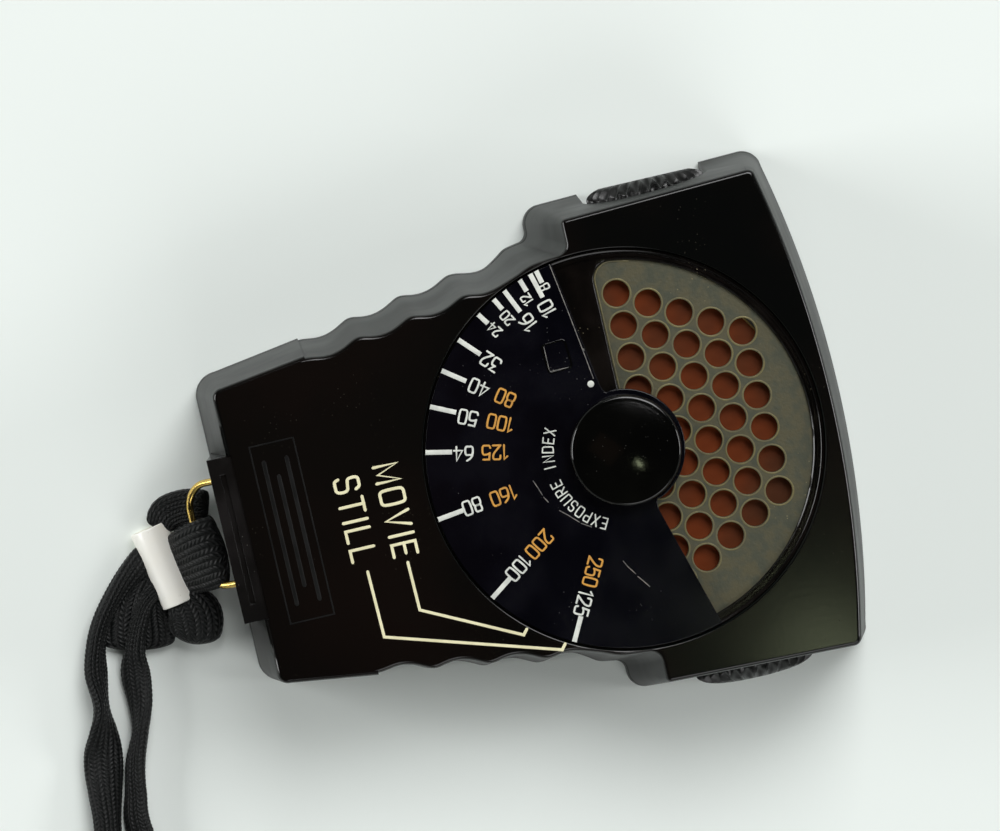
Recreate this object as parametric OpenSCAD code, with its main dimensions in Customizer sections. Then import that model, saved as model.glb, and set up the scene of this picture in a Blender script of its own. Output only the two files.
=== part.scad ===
// Handheld selenium light meter. It lies on its front face with the cell side up.
// Origin: on the dial axis, in the plane it rests on. +Y is the wide head, +Z the cell side.

/* [Case] */
// Height of the case, from the front face to the cell side
case_h = 25; // [21:0.5:32]
// Radius of the round recess that the exposure dial turns in
recess_r = 24.3; // [20:0.1:30]
// Width of the rim between the recess and the head edge
head_rim = 1.5; // [1.2:0.1:4]
// Length of the grip, from its first finger ridge to the tail
grip_len = 32; // [26:0.5:40]
// How far each side wall flares out from the cell side down to the front
side_flare = 2.5; // [1.5:0.1:4]
// How far the head and tail walls flare out
end_flare = 3.1; // [1.5:0.1:4]
// Distance between the finger ridges
ridge_pitch = 6.73; // [5:0.1:6.8]
// Depth of the finger hollows between the ridges
hollow_depth = 1.0; // [0.4:0.1:1.4]
// Thickness of the front cover
cover_t = 2.4; // [2.2:0.1:3]
// Thickness of the case wall
wall = 2.2; // [1.8:0.1:2.6]

/* [Exposure dial] */
// Depth of the dial recess
recess_depth = 1.5; // [1.3:0.1:2.5]
// Thickness of the turning dial
dial_t = 0.6; // [0.4:0.1:0.8]
// Radius of the dial's hub ring
hub_r = 7.3; // [7:0.1:9]
// Radius of the dial knob
dial_knob_r = 6.65; // [5:0.05:7]
// Height of the dial knob above the dial
dial_knob_h = 3.7; // [3:0.1:6]
// Radius of the dial spindle
spindle_r = 1.5; // [1:0.1:1.8]

/* [Light cell] */
// Thickness of the fixed bezel plate
bezel_t = 0.5; // [0.4:0.1:0.6]
// Radius of the window for light in the bezel
light_r = 22.8; // [18:0.1:23]
// Diameter of the baffle holes
hole_d = 3.2; // [2:0.1:3.4]
// Distance between holes along a row
hole_pitch = 3.95; // [3.9:0.05:5]
// Distance between the rows of holes
row_pitch = 3.45; // [3.42:0.01:4.5]
// Thickness of the baffle plate
baffle_t = 0.6; // [0.4:0.1:0.7]
// Thickness of the selenium cell plate
cell_t = 1.1; // [0.8:0.1:1.4]

/* [Scale drum] */
// Distance of the drum axis from the dial axis
drum_y = 10.2; // [9.8:0.1:10.6]
// Radius of the fluted end knobs
end_knob_r = 7.4; // [6:0.1:7.6]
// Radius of the drum shaft
shaft_r = 1.5; // [1:0.1:2]

/* [Meter movement] */
// Distance of the needle pivot from the dial axis
pivot_back = 24.5; // [24:0.5:26]
// Outer radius of the magnet
magnet_r = 11.5; // [10:0.1:11.6]
// Radius of the soft iron core
core_r = 4.8; // [4:0.1:5]
// Length of the needle from its pivot
needle_len = 32.5; // [26:0.5:33]
// Angle between the needle at rest and the centre line
needle_rest = 25; // [15:1:25]

/* [Strap] */
// Diameter of the ring wire
wire_d = 0.9; // [0.7:0.05:1]
// Half width of the strap ring
ring_half_w = 6.5; // [5.5:0.1:7]
// Reach of the strap ring from its hinge
ring_reach = 7; // [6.6:0.1:8]
// Width of the loose strap strands
strap_w = 4.4; // [3:0.1:5]
// Height of the loose strap strands
strap_h = 2.4; // [1.5:0.1:3]

/* [Fits] */
// Radial clearance of a shaft that turns in a hole
run_fit = 0.05; // [0.02:0.01:0.1]
// Radial gap round a piece that is seated and doesn't turn
seat_gap = 0.1; // [0.05:0.01:0.15]
// Gap between faces that move past each other
face_gap = 0.1; // [0.1:0.05:0.2]

/* [Hidden] */
$fn = 64;
eps = 0.01;

// Case outline
head_y = recess_r + head_rim;
head_arc_r = 133;
corner_x = recess_r + 5.2;
notch_x = recess_r + 4.3;
notch_y = -1.3;
ridge_x = recess_r - 1.7;
ridge_y = 9.5 - recess_r;
ridge_step_x = 0.97;
ridge_count = 4;
waist_x = recess_r - 2.1;
waist_y = ridge_y + 2.8;
tail_y = ridge_y - grip_len;
tail_x = 18.2 + recess_r - 24.3;

// Levels, from the cell side down
recess_z = case_h - recess_depth;
roof_z = recess_z - 1.1;
bezel_top = recess_z + bezel_t;
dial_z = bezel_top + face_gap;
dial_top = dial_z + dial_t;
baffle_z = recess_z - baffle_t;
ring_t = 0.4;
cell_top = roof_z - ring_t;
cell_z = cell_top - cell_t;
back_spring_t = 0.5;
holder_floor_t = 0.8;
holder_floor_top = cell_z - back_spring_t;
holder_z = holder_floor_top - holder_floor_t;

// Levels, from the front up
bridge_t = 0.8;
bridge_z = cover_t + 0.4;
bridge_top = bridge_z + bridge_t;
arm_z = bridge_top + 0.1;
arm_t = 0.3;
spring_gap = 0.25;
hairspring_t = 0.25;
hairspring_z = arm_z + arm_t + spring_gap;
needle_z = hairspring_z + hairspring_t + 0.45;
needle_t = 0.25;
coil_z = needle_z + needle_t;
coil_bar = 1.2;
plate_z = coil_z + coil_bar + 0.6;
plate_t = 0.6;
magnet_z = plate_z + plate_t;
upper_bridge_t = 1.2;
upper_bridge_z = roof_z - upper_bridge_t;
coil_top = upper_bridge_z - 2.4;
magnet_top = coil_top - coil_bar - 0.6;
core_top = magnet_top - 0.4;
scale_plate_z = needle_z + needle_t + 0.3;
scale_plate_t = 0.5;

// Scale drum
drum_floor = scale_plate_z + scale_plate_t + 0.3;
drum_r = (holder_z - 0.9 - drum_floor) / 2;
drum_z = drum_floor + drum_r;
recess_face_x = corner_x - 3.2;
cavity_x = recess_face_x - 2;
knob_slot_r = end_knob_r + 0.5;
end_knob_t = corner_x + 1.7 - recess_face_x - 0.4;
detent_x = cavity_x - 3.5;
detent_t = 1;
drum_left = 0.9 - cavity_x;
drum_right = detent_x - 0.4;

// Movement
coil_in_x = core_r + 0.6;
coil_out_x = coil_in_x + 1.5;
coil_half_y = 2;
magnet_in_r = norm([coil_out_x, coil_half_y]) + 0.5;
pillar_r = 1.5;
pillar_x = magnet_r + pillar_r + 0.5;
long_screw_r = 0.7;
pivot = [0, -pivot_back];
zero_offset = 7;
zero_throw = 0.8;
zero_y = -pivot_back - zero_offset;
fork_gap = 0.15;
pin_r = 0.35;

// Dial sector edges, as angles about the dial axis
sector_from = 188.1;
sector_to = 376.7;

// Light opening
light_y = 0.95;
light_corner = 2.2;
stack_y = 0;
tab_r = spindle_r + 2.1;
bush_r = spindle_r + 1.1;

// Bevels of the outer edges
edge_bevel = 0.3;
front_bevel = 0.7;

// Tail
lug_half_w = 10.1;
lug_y = tail_y + 0.6;
lug_out_y = tail_y - 2.5;
lug_top = case_h - 0.6;
lug_z = cover_t + 1;
hinge_y = tail_y - 1;
hinge_z = 9;
ring_x = -0.3;
ring_tilt = 35;
ring_corner_r = 3.2;
bar_y = hinge_y - ring_reach * cos(ring_tilt);
bar_z = hinge_z - ring_reach * sin(ring_tilt);
clip_at = [2.3, tail_y - 11.5, 2.2];
clip_turn = 10.7;
clip_size = [10.6, 4.4, 3.8];
clip_t = 0.6;

// Screws
screw_r = 0.9;
screw_head_r = 1.9;
screw_head_t = 1;
screw_sink = 0.3;
screw_top = 12;
screw_at = [
    [corner_x - 2.9, head_y - 5.4], [2.9 - corner_x, head_y - 5.4],
    [13.5 + recess_r - 24.3, tail_y + 4.4], [24.3 - recess_r - 13.5, tail_y + 4.4]
];

// The strap lies loose on the surface as one long loop: out from the clip and back to it.
strap_route = [
    [0.6, -57.6, 2], [0.8, -60, 1.8], [2, -61.9, 1.4], [3.9, -65.2, 1.3], [6.8, -67.7, 1.25],
    [10.1, -69, 1.25], [13.6, -69.6, 1.25], [17, -69.9, 1.25], [20.7, -70.5, 1.25],
    [25.5, -71.5, 1.25], [29.2, -72.2, 1.25], [33.5, -72.8, 1.25], [41, -74.4, 1.25],
    [50, -76.6, 1.25], [59, -78.2, 1.25], [68, -78, 1.25], [76, -75.2, 1.25], [81.5, -69.5, 1.25],
    [84, -61.5, 1.25], [84.2, -52.5, 1.25], [82.6, -43.5, 1.25], [80, -35, 1.25], [76, -27.8, 1.25],
    [70.5, -24, 1.25], [64.8, -25.4, 1.25], [61.8, -30.8, 1.25], [61.8, -38, 1.25], [63, -46, 1.25],
    [62.6, -53.8, 1.25], [59, -60.4, 1.25], [52, -65, 1.25], [43, -67.8, 1.25], [33.8, -69, 1.25],
    [29.2, -68.4, 1.25], [25.9, -67.6, 1.25], [22.3, -66.3, 1.25], [19, -65.2, 1.25],
    [15.2, -65, 1.25], [12.4, -64.2, 1.25], [9.1, -63.4, 1.25], [6.6, -62.2, 1.4], [5, -60.2, 1.8],
    [4.4, -57.8, 2]
];

// ---- Shared shapes ----

function mix(a, b, t) = a + (b - a) * t;

// Points of an arc from angle a0 to a1, both ends included.
function arc(c, r, a0, a1, n) =
    [for (i = [0:n]) let (a = mix(a0, a1, i / n)) [c[0] + r * cos(a), c[1] + r * sin(a)]];

// A finger ridge, where f is 0 at the front and 1 at the cell side.
function ridge(k, f) = [
    ridge_x - ridge_step_x * k + (1 - f) * (side_flare + 0.2 - 0.26 * k),
    ridge_y - ridge_pitch * k - (1 - f) * 0.8
];

// The hollow between two ridges, as a half wave pressed into the line between them.
function hollow(k, f) = [for (i = [0:7])
    let (t = i / 8, p = mix(ridge(k, f), ridge(k + 1, f), t)) [p[0] - hollow_depth * sin(180 * t), p[1]]];

// Right half of the outline, from the head to the tail.
function half_outline(f) =
    let (
        out = (1 - f) * side_flare,
        top = head_y + (1 - f) * (end_flare + 0.2),
        cr = mix(2.6, 1, f),
        cx = corner_x + out - 0.1 - cr,
        cy = top - head_arc_r + sqrt(pow(head_arc_r, 2) - pow(cx, 2)) - cr,
        nx = notch_x + out,
        ny = notch_y - (1 - f) * 3.9,
        wx = waist_x + out,
        tx = tail_x + (1 - f) * (side_flare - 0.8),
        ty = tail_y - (1 - f) * end_flare,
        tr = mix(3, 1.2, f),
        nr = mix(2.4, 0.6, f)
    )
    concat(
        [for (i = [1:6]) let (x = cx * i / 6) [x, top - head_arc_r + sqrt(pow(head_arc_r, 2) - x * x)]],
        arc([cx, cy], cr, 70, 0, 4),
        arc([nx - nr, ny + nr], nr, 0, -90, 3),
        arc([wx + 3.6, ny - 1.3], 1.3, 90, 180, 4),
        [[wx + 2, mix(ny, waist_y, 0.45)], [wx + 1.2, mix(ny, waist_y, 0.6)], [wx + 0.1, waist_y + 1]],
        [[wx - 0.1, waist_y - 0.6]],
        [for (k = [0:ridge_count - 2]) each hollow(k, f)],
        [ridge(ridge_count - 1, f)],
        arc([tx - tr, ty + tr], tr, 0, -90, 5)
    );

// The whole outline at height z, pulled in by the given share.
function outline(z, pull = 0) =
    let (f = z / case_h, half = half_outline(f), n = len(half), s = 1 - pull / corner_x)
    [
        for (p = half) [p[0] * s, p[1] * s, z],
        for (i = [n - 1:-1:0]) [-half[i][0] * s, half[i][1] * s, z]
    ];

// A solid through closed rings of equal length, the lowest first, each ring clockwise from above.
module loft(rings) {
    n = len(rings[0]);
    m = len(rings);
    points = [for (r = rings) each r];
    sides = [
        for (j = [0:m - 2]) for (i = [0:n - 1])
            let (a = j * n + i, b = j * n + (i + 1) % n)
            each [[a, b, b + n], [a, b + n, a + n]]
    ];
    polyhedron(points, concat([[for (i = [n - 1:-1:0]) i]], sides, [[for (i = [0:n - 1]) (m - 1) * n + i]]));
}

// The part of a loft between two levels, so that both ends are single flat faces.
module trimmed_loft(rings, z0, z1) {
    far = 3 * case_h + grip_len;
    intersection() {
        loft(rings);
        block([-far, -far, z0], [far, far, z1]);
    }
}

// A tube swept along points that lie nearly level, with an oval section.
module swept_strap(route, w, h, sides = 10) {
    n = len(route);
    rings = [for (i = [0:n - 1])
        let (
            d = route[min(i + 1, n - 1)] - route[max(i - 1, 0)],
            u = [d[1], -d[0], 0] / norm([d[0], d[1]])
        )
        [for (k = [0:sides - 1]) let (a = 360 * k / sides)
            route[i] + u * (w / 2) * cos(a) + [0, 0, h / 2 * sin(a)]]];
    points = [for (r = rings) each r];
    skin = [for (j = [0:n - 2]) for (i = [0:sides - 1])
        let (a = j * sides + i, b = j * sides + (i + 1) % sides)
        each [[a, b, b + sides], [a, b + sides, a + sides]]];
    polyhedron(points, concat([[for (i = [sides - 1:-1:0]) i]], skin, [[for (i = [0:sides - 1]) (n - 1) * sides + i]]));
}

module rod(r, z0, z1, at = [0, 0]) {
    translate([at[0], at[1], z0]) cylinder(r = r, h = z1 - z0);
}

// A rod along X between x0 and x1.
module cross_rod(r, x0, x1, y, z) {
    translate([x0, y, z]) rotate([0, 90, 0]) cylinder(r = r, h = x1 - x0);
}

module block(lo, hi) {
    translate(lo) cube(hi - lo);
}

// Half-moon plate: a disc cut straight at y, with room left round the dial bush.
module moon(r, y, z0, z1, notch = 0) {
    difference() {
        intersection() {
            rod(r, z0, z1);
            block([-r - 1, y, z0 - 1], [r + 1, r + 1, z1 + 1]);
        }
        if (notch > 0) rod(notch, z0 - 1, z1 + 1);
    }
}

module moon_ring(r, y, wide, z0, z1, notch) {
    difference() {
        moon(r, y, z0, z1, notch);
        moon(r - wide, y + wide, z0 - 1, z1 + 1);
    }
}

// The thumb slots beside the head that the end knobs turn in, open at the front.
module thumb_slots() {
    for (s = [-1, 1]) {
        cross_rod(knob_slot_r, s > 0 ? recess_face_x : -corner_x - 9, s > 0 ? corner_x + 9 : -recess_face_x,
            drum_y, drum_z);
        block([s > 0 ? recess_face_x : -corner_x - 9, drum_y - knob_slot_r, -1],
            [s > 0 ? corner_x + 9 : -recess_face_x, drum_y + knob_slot_r, drum_z]);
    }
}

// ---- Case ----

module inner_space() {
    head_in_y = head_y - wall;
    grip_in_x = waist_x - wall - 0.4;
    tail_in_x = tail_x - wall - 0.4;
    right = [
        [0, head_in_y], [cavity_x - 1, head_in_y - 2.2], [cavity_x, head_in_y - 3.2],
        [cavity_x, notch_y + 0.7], [cavity_x - 1.2, notch_y - 0.5],
        [grip_in_x + 0.7, notch_y - 3.7], [grip_in_x, waist_y + 1],
        [tail_in_x, tail_y + wall + 1], [tail_in_x - 1, tail_y + wall]
    ];
    left = [for (i = [len(right) - 1:-1:1]) [-right[i][0], right[i][1]]];
    translate([0, 0, cover_t - 1]) linear_extrude(roof_z - cover_t + 1) polygon(concat(right, left));
}

module rear_case() {
    color([0.03, 0.03, 0.03]) difference() {
        union() {
            difference() {
                trimmed_loft([outline(cover_t - 1), outline(case_h - edge_bevel), outline(case_h + 1, 1 + edge_bevel)],
                    cover_t, case_h);
                inner_space();
            }
            for (i = [2, 3]) rod(screw_head_r + 0.5, cover_t, roof_z + 0.5, screw_at[i]);
        }
        rod(recess_r, recess_z, case_h + 1);
        moon(light_r + 0.4, stack_y - 0.1, roof_z - 1, recess_z + 1, tab_r);
        rod(bush_r + seat_gap, roof_z - 1, recess_z + 1);
        thumb_slots();
        for (s = [-1, 1]) cross_rod(shaft_r + 1.1 + seat_gap, s > 0 ? cavity_x - 1 : -recess_face_x - 1,
            s > 0 ? recess_face_x + 1 : 1 - cavity_x, drum_y, drum_z);
        for (p = screw_at) rod(screw_r + run_fit, cover_t - 1, screw_top + 0.5, p);
        for (s = [-1, 1]) rod(0.8 + run_fit, roof_z - 1, recess_z - 0.2, [14 * s, -4]);
        for (s = [-1, 1]) rod(long_screw_r + run_fit, roof_z - 1, roof_z + 0.9, [s * pillar_x, -pivot_back]);
        block([-lug_half_w - seat_gap, lug_out_y - 9, lug_z - seat_gap],
            [lug_half_w + seat_gap, lug_y + eps, case_h + 1]);
    }
}

module front_cover() {
    color([0.04, 0.04, 0.045]) difference() {
        trimmed_loft([outline(-1, 1 + front_bevel), outline(front_bevel), outline(cover_t + 1)], 0, cover_t);
        thumb_slots();
        block([-15.5, 3.2, -1], [15.5, 18.2, 1]);
        block([-16.9, 1.8, 0.6], [16.9, 19.6, cover_t + 1]);
        for (p = screw_at) {
            rod(screw_r + seat_gap, -1, cover_t + 1, p);
            rod(screw_head_r + seat_gap, -1, screw_sink + screw_head_t, p);
        }
        rod(2.5, -1, 1.45, [0, zero_y]);
        rod(1.2 + run_fit, 0, cover_t + 1, [0, zero_y]);
    }
}

module front_window() {
    color([0.85, 0.9, 0.9, 0.4]) block([-16.8, 1.9, 0.6], [16.8, 19.5, 2]);
}

module case_screws() {
    color([0.7, 0.68, 0.62]) for (p = screw_at) difference() {
        union() {
            rod(screw_head_r, screw_sink, screw_sink + screw_head_t, p);
            rod(screw_r, screw_sink + screw_head_t - eps, screw_top, p);
        }
        translate([p[0], p[1], screw_sink]) cube([4, 0.5, 1], center = true);
    }
}

// ---- Strap ----

module lug_block() {
    color([0.02, 0.02, 0.02]) difference() {
        block([-lug_half_w, lug_out_y, lug_z], [lug_half_w, lug_y, lug_top]);
        cross_rod(wire_d / 2 + run_fit, ring_x - ring_half_w - 1, ring_x + ring_half_w + 1, hinge_y, hinge_z);
        for (s = [-1, 1])
            translate([ring_x + s * ring_half_w - wire_d / 2 - 0.2, lug_out_y - 1, hinge_z - 5.4])
                cube([wire_d + 0.4, hinge_y - lug_out_y + 1.6, 10.8]);
        translate([0, (lug_y + lug_out_y) / 2, lug_top]) cube([16, 0.7, 0.8], center = true);
    }
}

// The ring in its own plane: hinge rod along X at the origin, bar at +Y. It is turned into place after.
module ring_shape() {
    r = wire_d / 2;
    straight = ring_reach - ring_corner_r;
    cross_rod(r, -ring_half_w, ring_half_w, 0, 0);
    for (s = [-1, 1]) {
        translate([s * ring_half_w, 0, 0]) sphere(r = r);
        translate([s * ring_half_w, 0, 0]) rotate([-90, 0, 0]) cylinder(r = r, h = straight);
        translate([s * (ring_half_w - ring_corner_r), straight, 0]) rotate([0, 0, s > 0 ? 0 : 90])
            rotate_extrude(angle = 90) translate([ring_corner_r, 0]) circle(r = r, $fn = 24);
    }
    cross_rod(r, ring_corner_r - ring_half_w, ring_half_w - ring_corner_r, ring_reach, 0);
}

module strap_ring() {
    color([0.8, 0.62, 0.25]) translate([ring_x, hinge_y, hinge_z]) rotate([180 + ring_tilt, 0, 0]) ring_shape();
}

// The braid where it passes round the ring bar and into the clip.
module strap_loop() {
    end_y = clip_at[1] + 0.8;
    color([0.03, 0.03, 0.03]) translate([ring_x - 3.1, 0, 0]) rotate([90, 0, 90]) linear_extrude(7.4)
        difference() {
            hull() {
                translate([bar_y, bar_z]) circle(r = 1.7, $fn = 24);
                translate([end_y, clip_at[2]]) circle(r = 1.1, $fn = 16);
            }
            hull() {
                translate([bar_y, bar_z]) circle(r = 0.8, $fn = 24);
                translate([end_y + 2.8, clip_at[2] + 0.3]) circle(r = 0.2, $fn = 16);
            }
        }
}

// The folded end of the braid that stands out beside the clip.
module strap_stub() {
    y = clip_at[1];
    color([0.03, 0.03, 0.03]) translate([0, 0, 0.4]) linear_extrude(3.6)
        polygon([[5.5, y + 3.6], [9.4, y + 5.6], [10.9, y + 5.2], [13.5, y + 1.2], [13.2, y - 0.4],
            [11.6, y - 1.6], [7.8, y - 1.2]]);
}

// Section of the clip: an arch with a flat top and two sloping shoulders, t smaller all round.
function arch(t) =
    let (w = clip_size[1] / 2 - t, h = clip_size[2] / 2 - t, shoulder = w * 0.55, drop = h * 0.35)
    [[-w, -h], [-w, drop], [-shoulder, h], [shoulder, h], [w, drop], [w, -h]];

// The clip is a folded channel. Its ends are open, and the braid is squeezed in it.
module strap_clip() {
    color([0.8, 0.78, 0.7]) translate(clip_at) rotate([0, 0, clip_turn]) rotate([90, 0, 90]) difference() {
        linear_extrude(clip_size[0], center = true) polygon(arch(0));
        linear_extrude(clip_size[0] + 1, center = true) polygon(arch(clip_t));
    }
}

module strap_cord() {
    color([0.03, 0.03, 0.03]) swept_strap(strap_route, strap_w, strap_h);
}

// ---- Light cell ----

module dial_bezel() {
    color([0.02, 0.02, 0.02]) difference() {
        rod(recess_r - seat_gap, recess_z, bezel_top);
        difference() {
            translate([0, 0, recess_z - 1]) linear_extrude(bezel_t + 2)
                offset(r = light_corner, $fn = 32) offset(delta = -light_corner)
                    intersection() {
                        circle(r = light_r, $fn = 96);
                        translate([-light_r, light_y]) square([2 * light_r, light_r]);
                    }
            rod(tab_r, recess_z - 2, bezel_top + 2);
        }
        rod(bush_r + seat_gap, recess_z - 1, bezel_top + 1);
    }
}

// Rows of holes, each with one more than the row before it, round the tab of the bezel.
module baffle_holes() {
    for (row = [0:4], k = [0:row + 5]) {
        place = [hole_pitch * (k - (row + 5) / 2) - 0.7, 17.1 - row_pitch * row];
        rim_gap = light_r - hole_d / 2 - 0.5 - norm(place);
        if (rim_gap > 0 && norm(place) > tab_r + hole_d / 2 + 0.4)
            rod(hole_d / 2, baffle_z - 1, recess_z + 1, place);
    }
}

module cell_baffle() {
    color([0.45, 0.47, 0.42]) difference() {
        moon(light_r + 0.3, stack_y, baffle_z, recess_z, tab_r + seat_gap);
        baffle_holes();
    }
}

module cell_gasket() {
    color([0.05, 0.05, 0.05]) moon_ring(light_r + 0.3, stack_y, 1.6, roof_z, baffle_z, tab_r + seat_gap);
}

module cell_contact_ring() {
    color([0.75, 0.55, 0.25]) moon_ring(light_r - 0.5, stack_y + 0.4, 1, cell_top, roof_z, tab_r + seat_gap);
}

module selenium_cell() {
    color([0.3, 0.1, 0.06]) moon(light_r - 0.5, stack_y + 0.4, cell_z, cell_top, tab_r + seat_gap);
}

module cell_back_spring() {
    color([0.75, 0.6, 0.3]) for (s = [-1, 1]) block([s * 9.5 - 2, 4, holder_floor_top], [s * 9.5 + 2, 14, cell_z]);
}

module cell_holder() {
    color([0.25, 0.14, 0.08]) difference() {
        union() {
            moon(light_r + 0.6, stack_y - 1.2, holder_z, roof_z);
            for (s = [-1, 1]) {
                rod(2, roof_z - 1.6, roof_z, [14 * s, -4]);
                block([14 * s - 2, -4, roof_z - 1.6], [14 * s + 2, stack_y - 1, roof_z]);
            }
        }
        moon(light_r - 0.4, stack_y + 0.3, holder_floor_top, roof_z + 1);
        rod(tab_r + seat_gap, holder_floor_top, roof_z + 1);
        for (s = [-1, 1]) rod(0.8 + run_fit, holder_z, roof_z + 1, [14 * s, -4]);
    }
}

module holder_screws() {
    color([0.7, 0.68, 0.62]) for (s = [-1, 1]) difference() {
        union() {
            rod(1.6, roof_z - 2.6, roof_z - 1.6, [14 * s, -4]);
            rod(0.8, roof_z - 1.6 - eps, recess_z - 0.4, [14 * s, -4]);
        }
        translate([14 * s, -4, roof_z - 2.6]) cube([4, 0.4, 0.8], center = true);
    }
}

lead_x = 9.5;
lead_z = coil_top - 0.3;
board_y = tail_y + 4;

module cell_leads() {
    color([0.6, 0.1, 0.08]) for (s = [-1, 1]) {
        rod(0.5, lead_z, holder_z, [s * lead_x, 1]);
        translate([s * lead_x, 1, lead_z]) sphere(r = 0.5);
        translate([s * lead_x, 1, lead_z]) rotate([90, 0, 0]) cylinder(r = 0.5, h = 1 - board_y);
    }
}

// ---- Exposure dial ----

module dial_bush() {
    color([0.78, 0.62, 0.3]) difference() {
        union() {
            rod(bush_r, roof_z - eps, bezel_top);
            rod(tab_r - 0.2, roof_z - 0.5, roof_z);
        }
        rod(spindle_r + run_fit, roof_z - 2, bezel_top + 1);
    }
}

module exposure_dial() {
    far = 2 * recess_r;
    color([0.03, 0.03, 0.045]) difference() {
        union() {
            intersection() {
                rod(recess_r - 0.3, dial_z, dial_top);
                translate([0, 0, dial_z - 1]) linear_extrude(dial_t + 2)
                    polygon(concat([[0, 0]], arc([0, 0], far, sector_from, sector_to, 4)));
            }
            rod(hub_r, dial_z, dial_top);
        }
        rod(spindle_r + run_fit, dial_z - 1, dial_top + 1);
    }
}

module dial_knob() {
    dome = 1;
    color([0.02, 0.02, 0.02]) translate([0, 0, dial_top]) difference() {
        rotate_extrude() polygon(concat(
            [[0, 0], [dial_knob_r - 0.3, 0], [dial_knob_r, 0.3], [dial_knob_r, dial_knob_h - dome - 0.5]],
            [for (i = [0:6]) let (a = 90 * i / 6)
                [(dial_knob_r - 0.5) * cos(a), dial_knob_h - dome + dome * sin(a)]]
        ));
        rod(spindle_r + run_fit, -1, 0.9);
    }
}

clip_z = roof_z - 1.4;

module dial_spindle() {
    color([0.72, 0.7, 0.65]) difference() {
        rod(spindle_r, roof_z - 1.8, dial_top + 0.8);
        difference() {
            rod(spindle_r + 1, clip_z - 0.05, clip_z + 0.45);
            rod(spindle_r - 0.4, clip_z - 1, clip_z + 1);
        }
    }
}

module retaining_clip() {
    color([0.6, 0.6, 0.62]) difference() {
        rod(spindle_r + 1.1, clip_z, clip_z + 0.4);
        rod(spindle_r - 0.4 + run_fit, clip_z - 1, clip_z + 1);
        block([-0.7, -5, clip_z - 1], [0.7, 0, clip_z + 1]);
    }
}

module spring_washer() {
    color([0.7, 0.7, 0.7]) difference() {
        rod(spindle_r + 1.3, clip_z + 0.45, roof_z - 0.55);
        rod(spindle_r + seat_gap, clip_z, roof_z);
    }
}

// ---- Scale and drum ----

module scale_plate() {
    color([0.85, 0.83, 0.75]) difference() {
        union() {
            block([-19.6, -6, scale_plate_z], [19.6, 20, scale_plate_z + scale_plate_t]);
            for (x = [-18.4, 18.4]) for (y = [-4.5, 18.6]) rod(1, cover_t, scale_plate_z + eps, [x, y]);
        }
        block([-14.5, drum_y - 1.9, scale_plate_z - 1], [14.5, drum_y + 1.9, scale_plate_z + 1]);
    }
}

module scale_drum() {
    shell = 0.8;
    web = 1;
    color([0.9, 0.88, 0.8]) difference() {
        cross_rod(drum_r, drum_left, drum_right, drum_y, drum_z);
        cross_rod(drum_r - shell, drum_left + web, drum_right - web, drum_y, drum_z);
        cross_rod(shaft_r + run_fit, drum_left - 1, drum_right + 1, drum_y, drum_z);
        for (a = [0:120:240]) cross_rod(0.7, drum_left - 1, drum_right + 1,
            drum_y + (drum_r + shaft_r) / 2 * cos(a), drum_z + (drum_r + shaft_r) / 2 * sin(a));
    }
}

module drum_shaft() {
    reach = recess_face_x + 2.4;
    color([0.72, 0.7, 0.65]) cross_rod(shaft_r, -reach, reach, drum_y, drum_z);
}

// Fluted, domed knob. It is drawn along +Z from its back face.
module end_knob() {
    flutes = 20;
    deep = 0.45;
    skirt = 1.8;
    dome_r = end_knob_r - deep - 0.1;
    difference() {
        union() {
            linear_extrude(skirt) polygon([for (i = [0:119]) let (a = 3 * i)
                (end_knob_r - deep * (1 - cos(flutes * a)) / 2) * [cos(a), sin(a)]]);
            translate([0, 0, skirt - eps]) rotate_extrude() polygon(concat([[0, 0]],
                [for (i = [0:6]) let (a = 90 * i / 6) [dome_r * cos(a), (end_knob_t - skirt) * sin(a)]]));
        }
        rod(shaft_r + run_fit, -1, 2.5);
    }
}

module left_knob() {
    color([0.03, 0.03, 0.03]) translate([-recess_face_x - 0.4, drum_y, drum_z]) rotate([0, -90, 0]) end_knob();
}

module right_knob() {
    color([0.03, 0.03, 0.03]) translate([recess_face_x + 0.4, drum_y, drum_z]) rotate([0, 90, 0]) end_knob();
}

module drum_bushes() {
    color([0.78, 0.62, 0.3]) for (s = [-1, 1]) difference() {
        union() {
            cross_rod(shaft_r + 1.1, s > 0 ? cavity_x - eps : -recess_face_x, s > 0 ? recess_face_x : eps - cavity_x,
                drum_y, drum_z);
            cross_rod(shaft_r + 1.8, s > 0 ? cavity_x - 0.4 : -cavity_x, s > 0 ? cavity_x : 0.4 - cavity_x,
                drum_y, drum_z);
        }
        cross_rod(shaft_r + run_fit, s > 0 ? cavity_x - 2 : -recess_face_x - 2,
            s > 0 ? recess_face_x + 2 : 2 - cavity_x, drum_y, drum_z);
    }
}

detent_r = min(4.6, drum_r - 0.8);
click_z = drum_z + detent_r + 0.15;

module detent_wheel() {
    color([0.75, 0.6, 0.3]) difference() {
        cross_rod(detent_r, detent_x, detent_x + detent_t, drum_y, drum_z);
        for (a = [0:30:330]) cross_rod(0.6, detent_x - 1, detent_x + 2,
            drum_y + (detent_r + 0.2) * cos(a), drum_z + (detent_r + 0.2) * sin(a));
        cross_rod(shaft_r + run_fit, detent_x - 1, detent_x + 2, drum_y, drum_z);
    }
}

module click_spring() {
    color([0.75, 0.6, 0.3]) {
        block([detent_x + 0.1, drum_y - 3.5, click_z], [detent_x + 0.9, drum_y + 5.8, click_z + 0.3]);
        block([detent_x + 0.1, drum_y + 5.5, click_z], [detent_x + 0.9, drum_y + 5.8, roof_z]);
        block([detent_x + 0.1, drum_y + 5.5, roof_z - 0.3], [detent_x + 0.9, drum_y + 8.6, roof_z]);
    }
}

// ---- Movement ----

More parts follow.
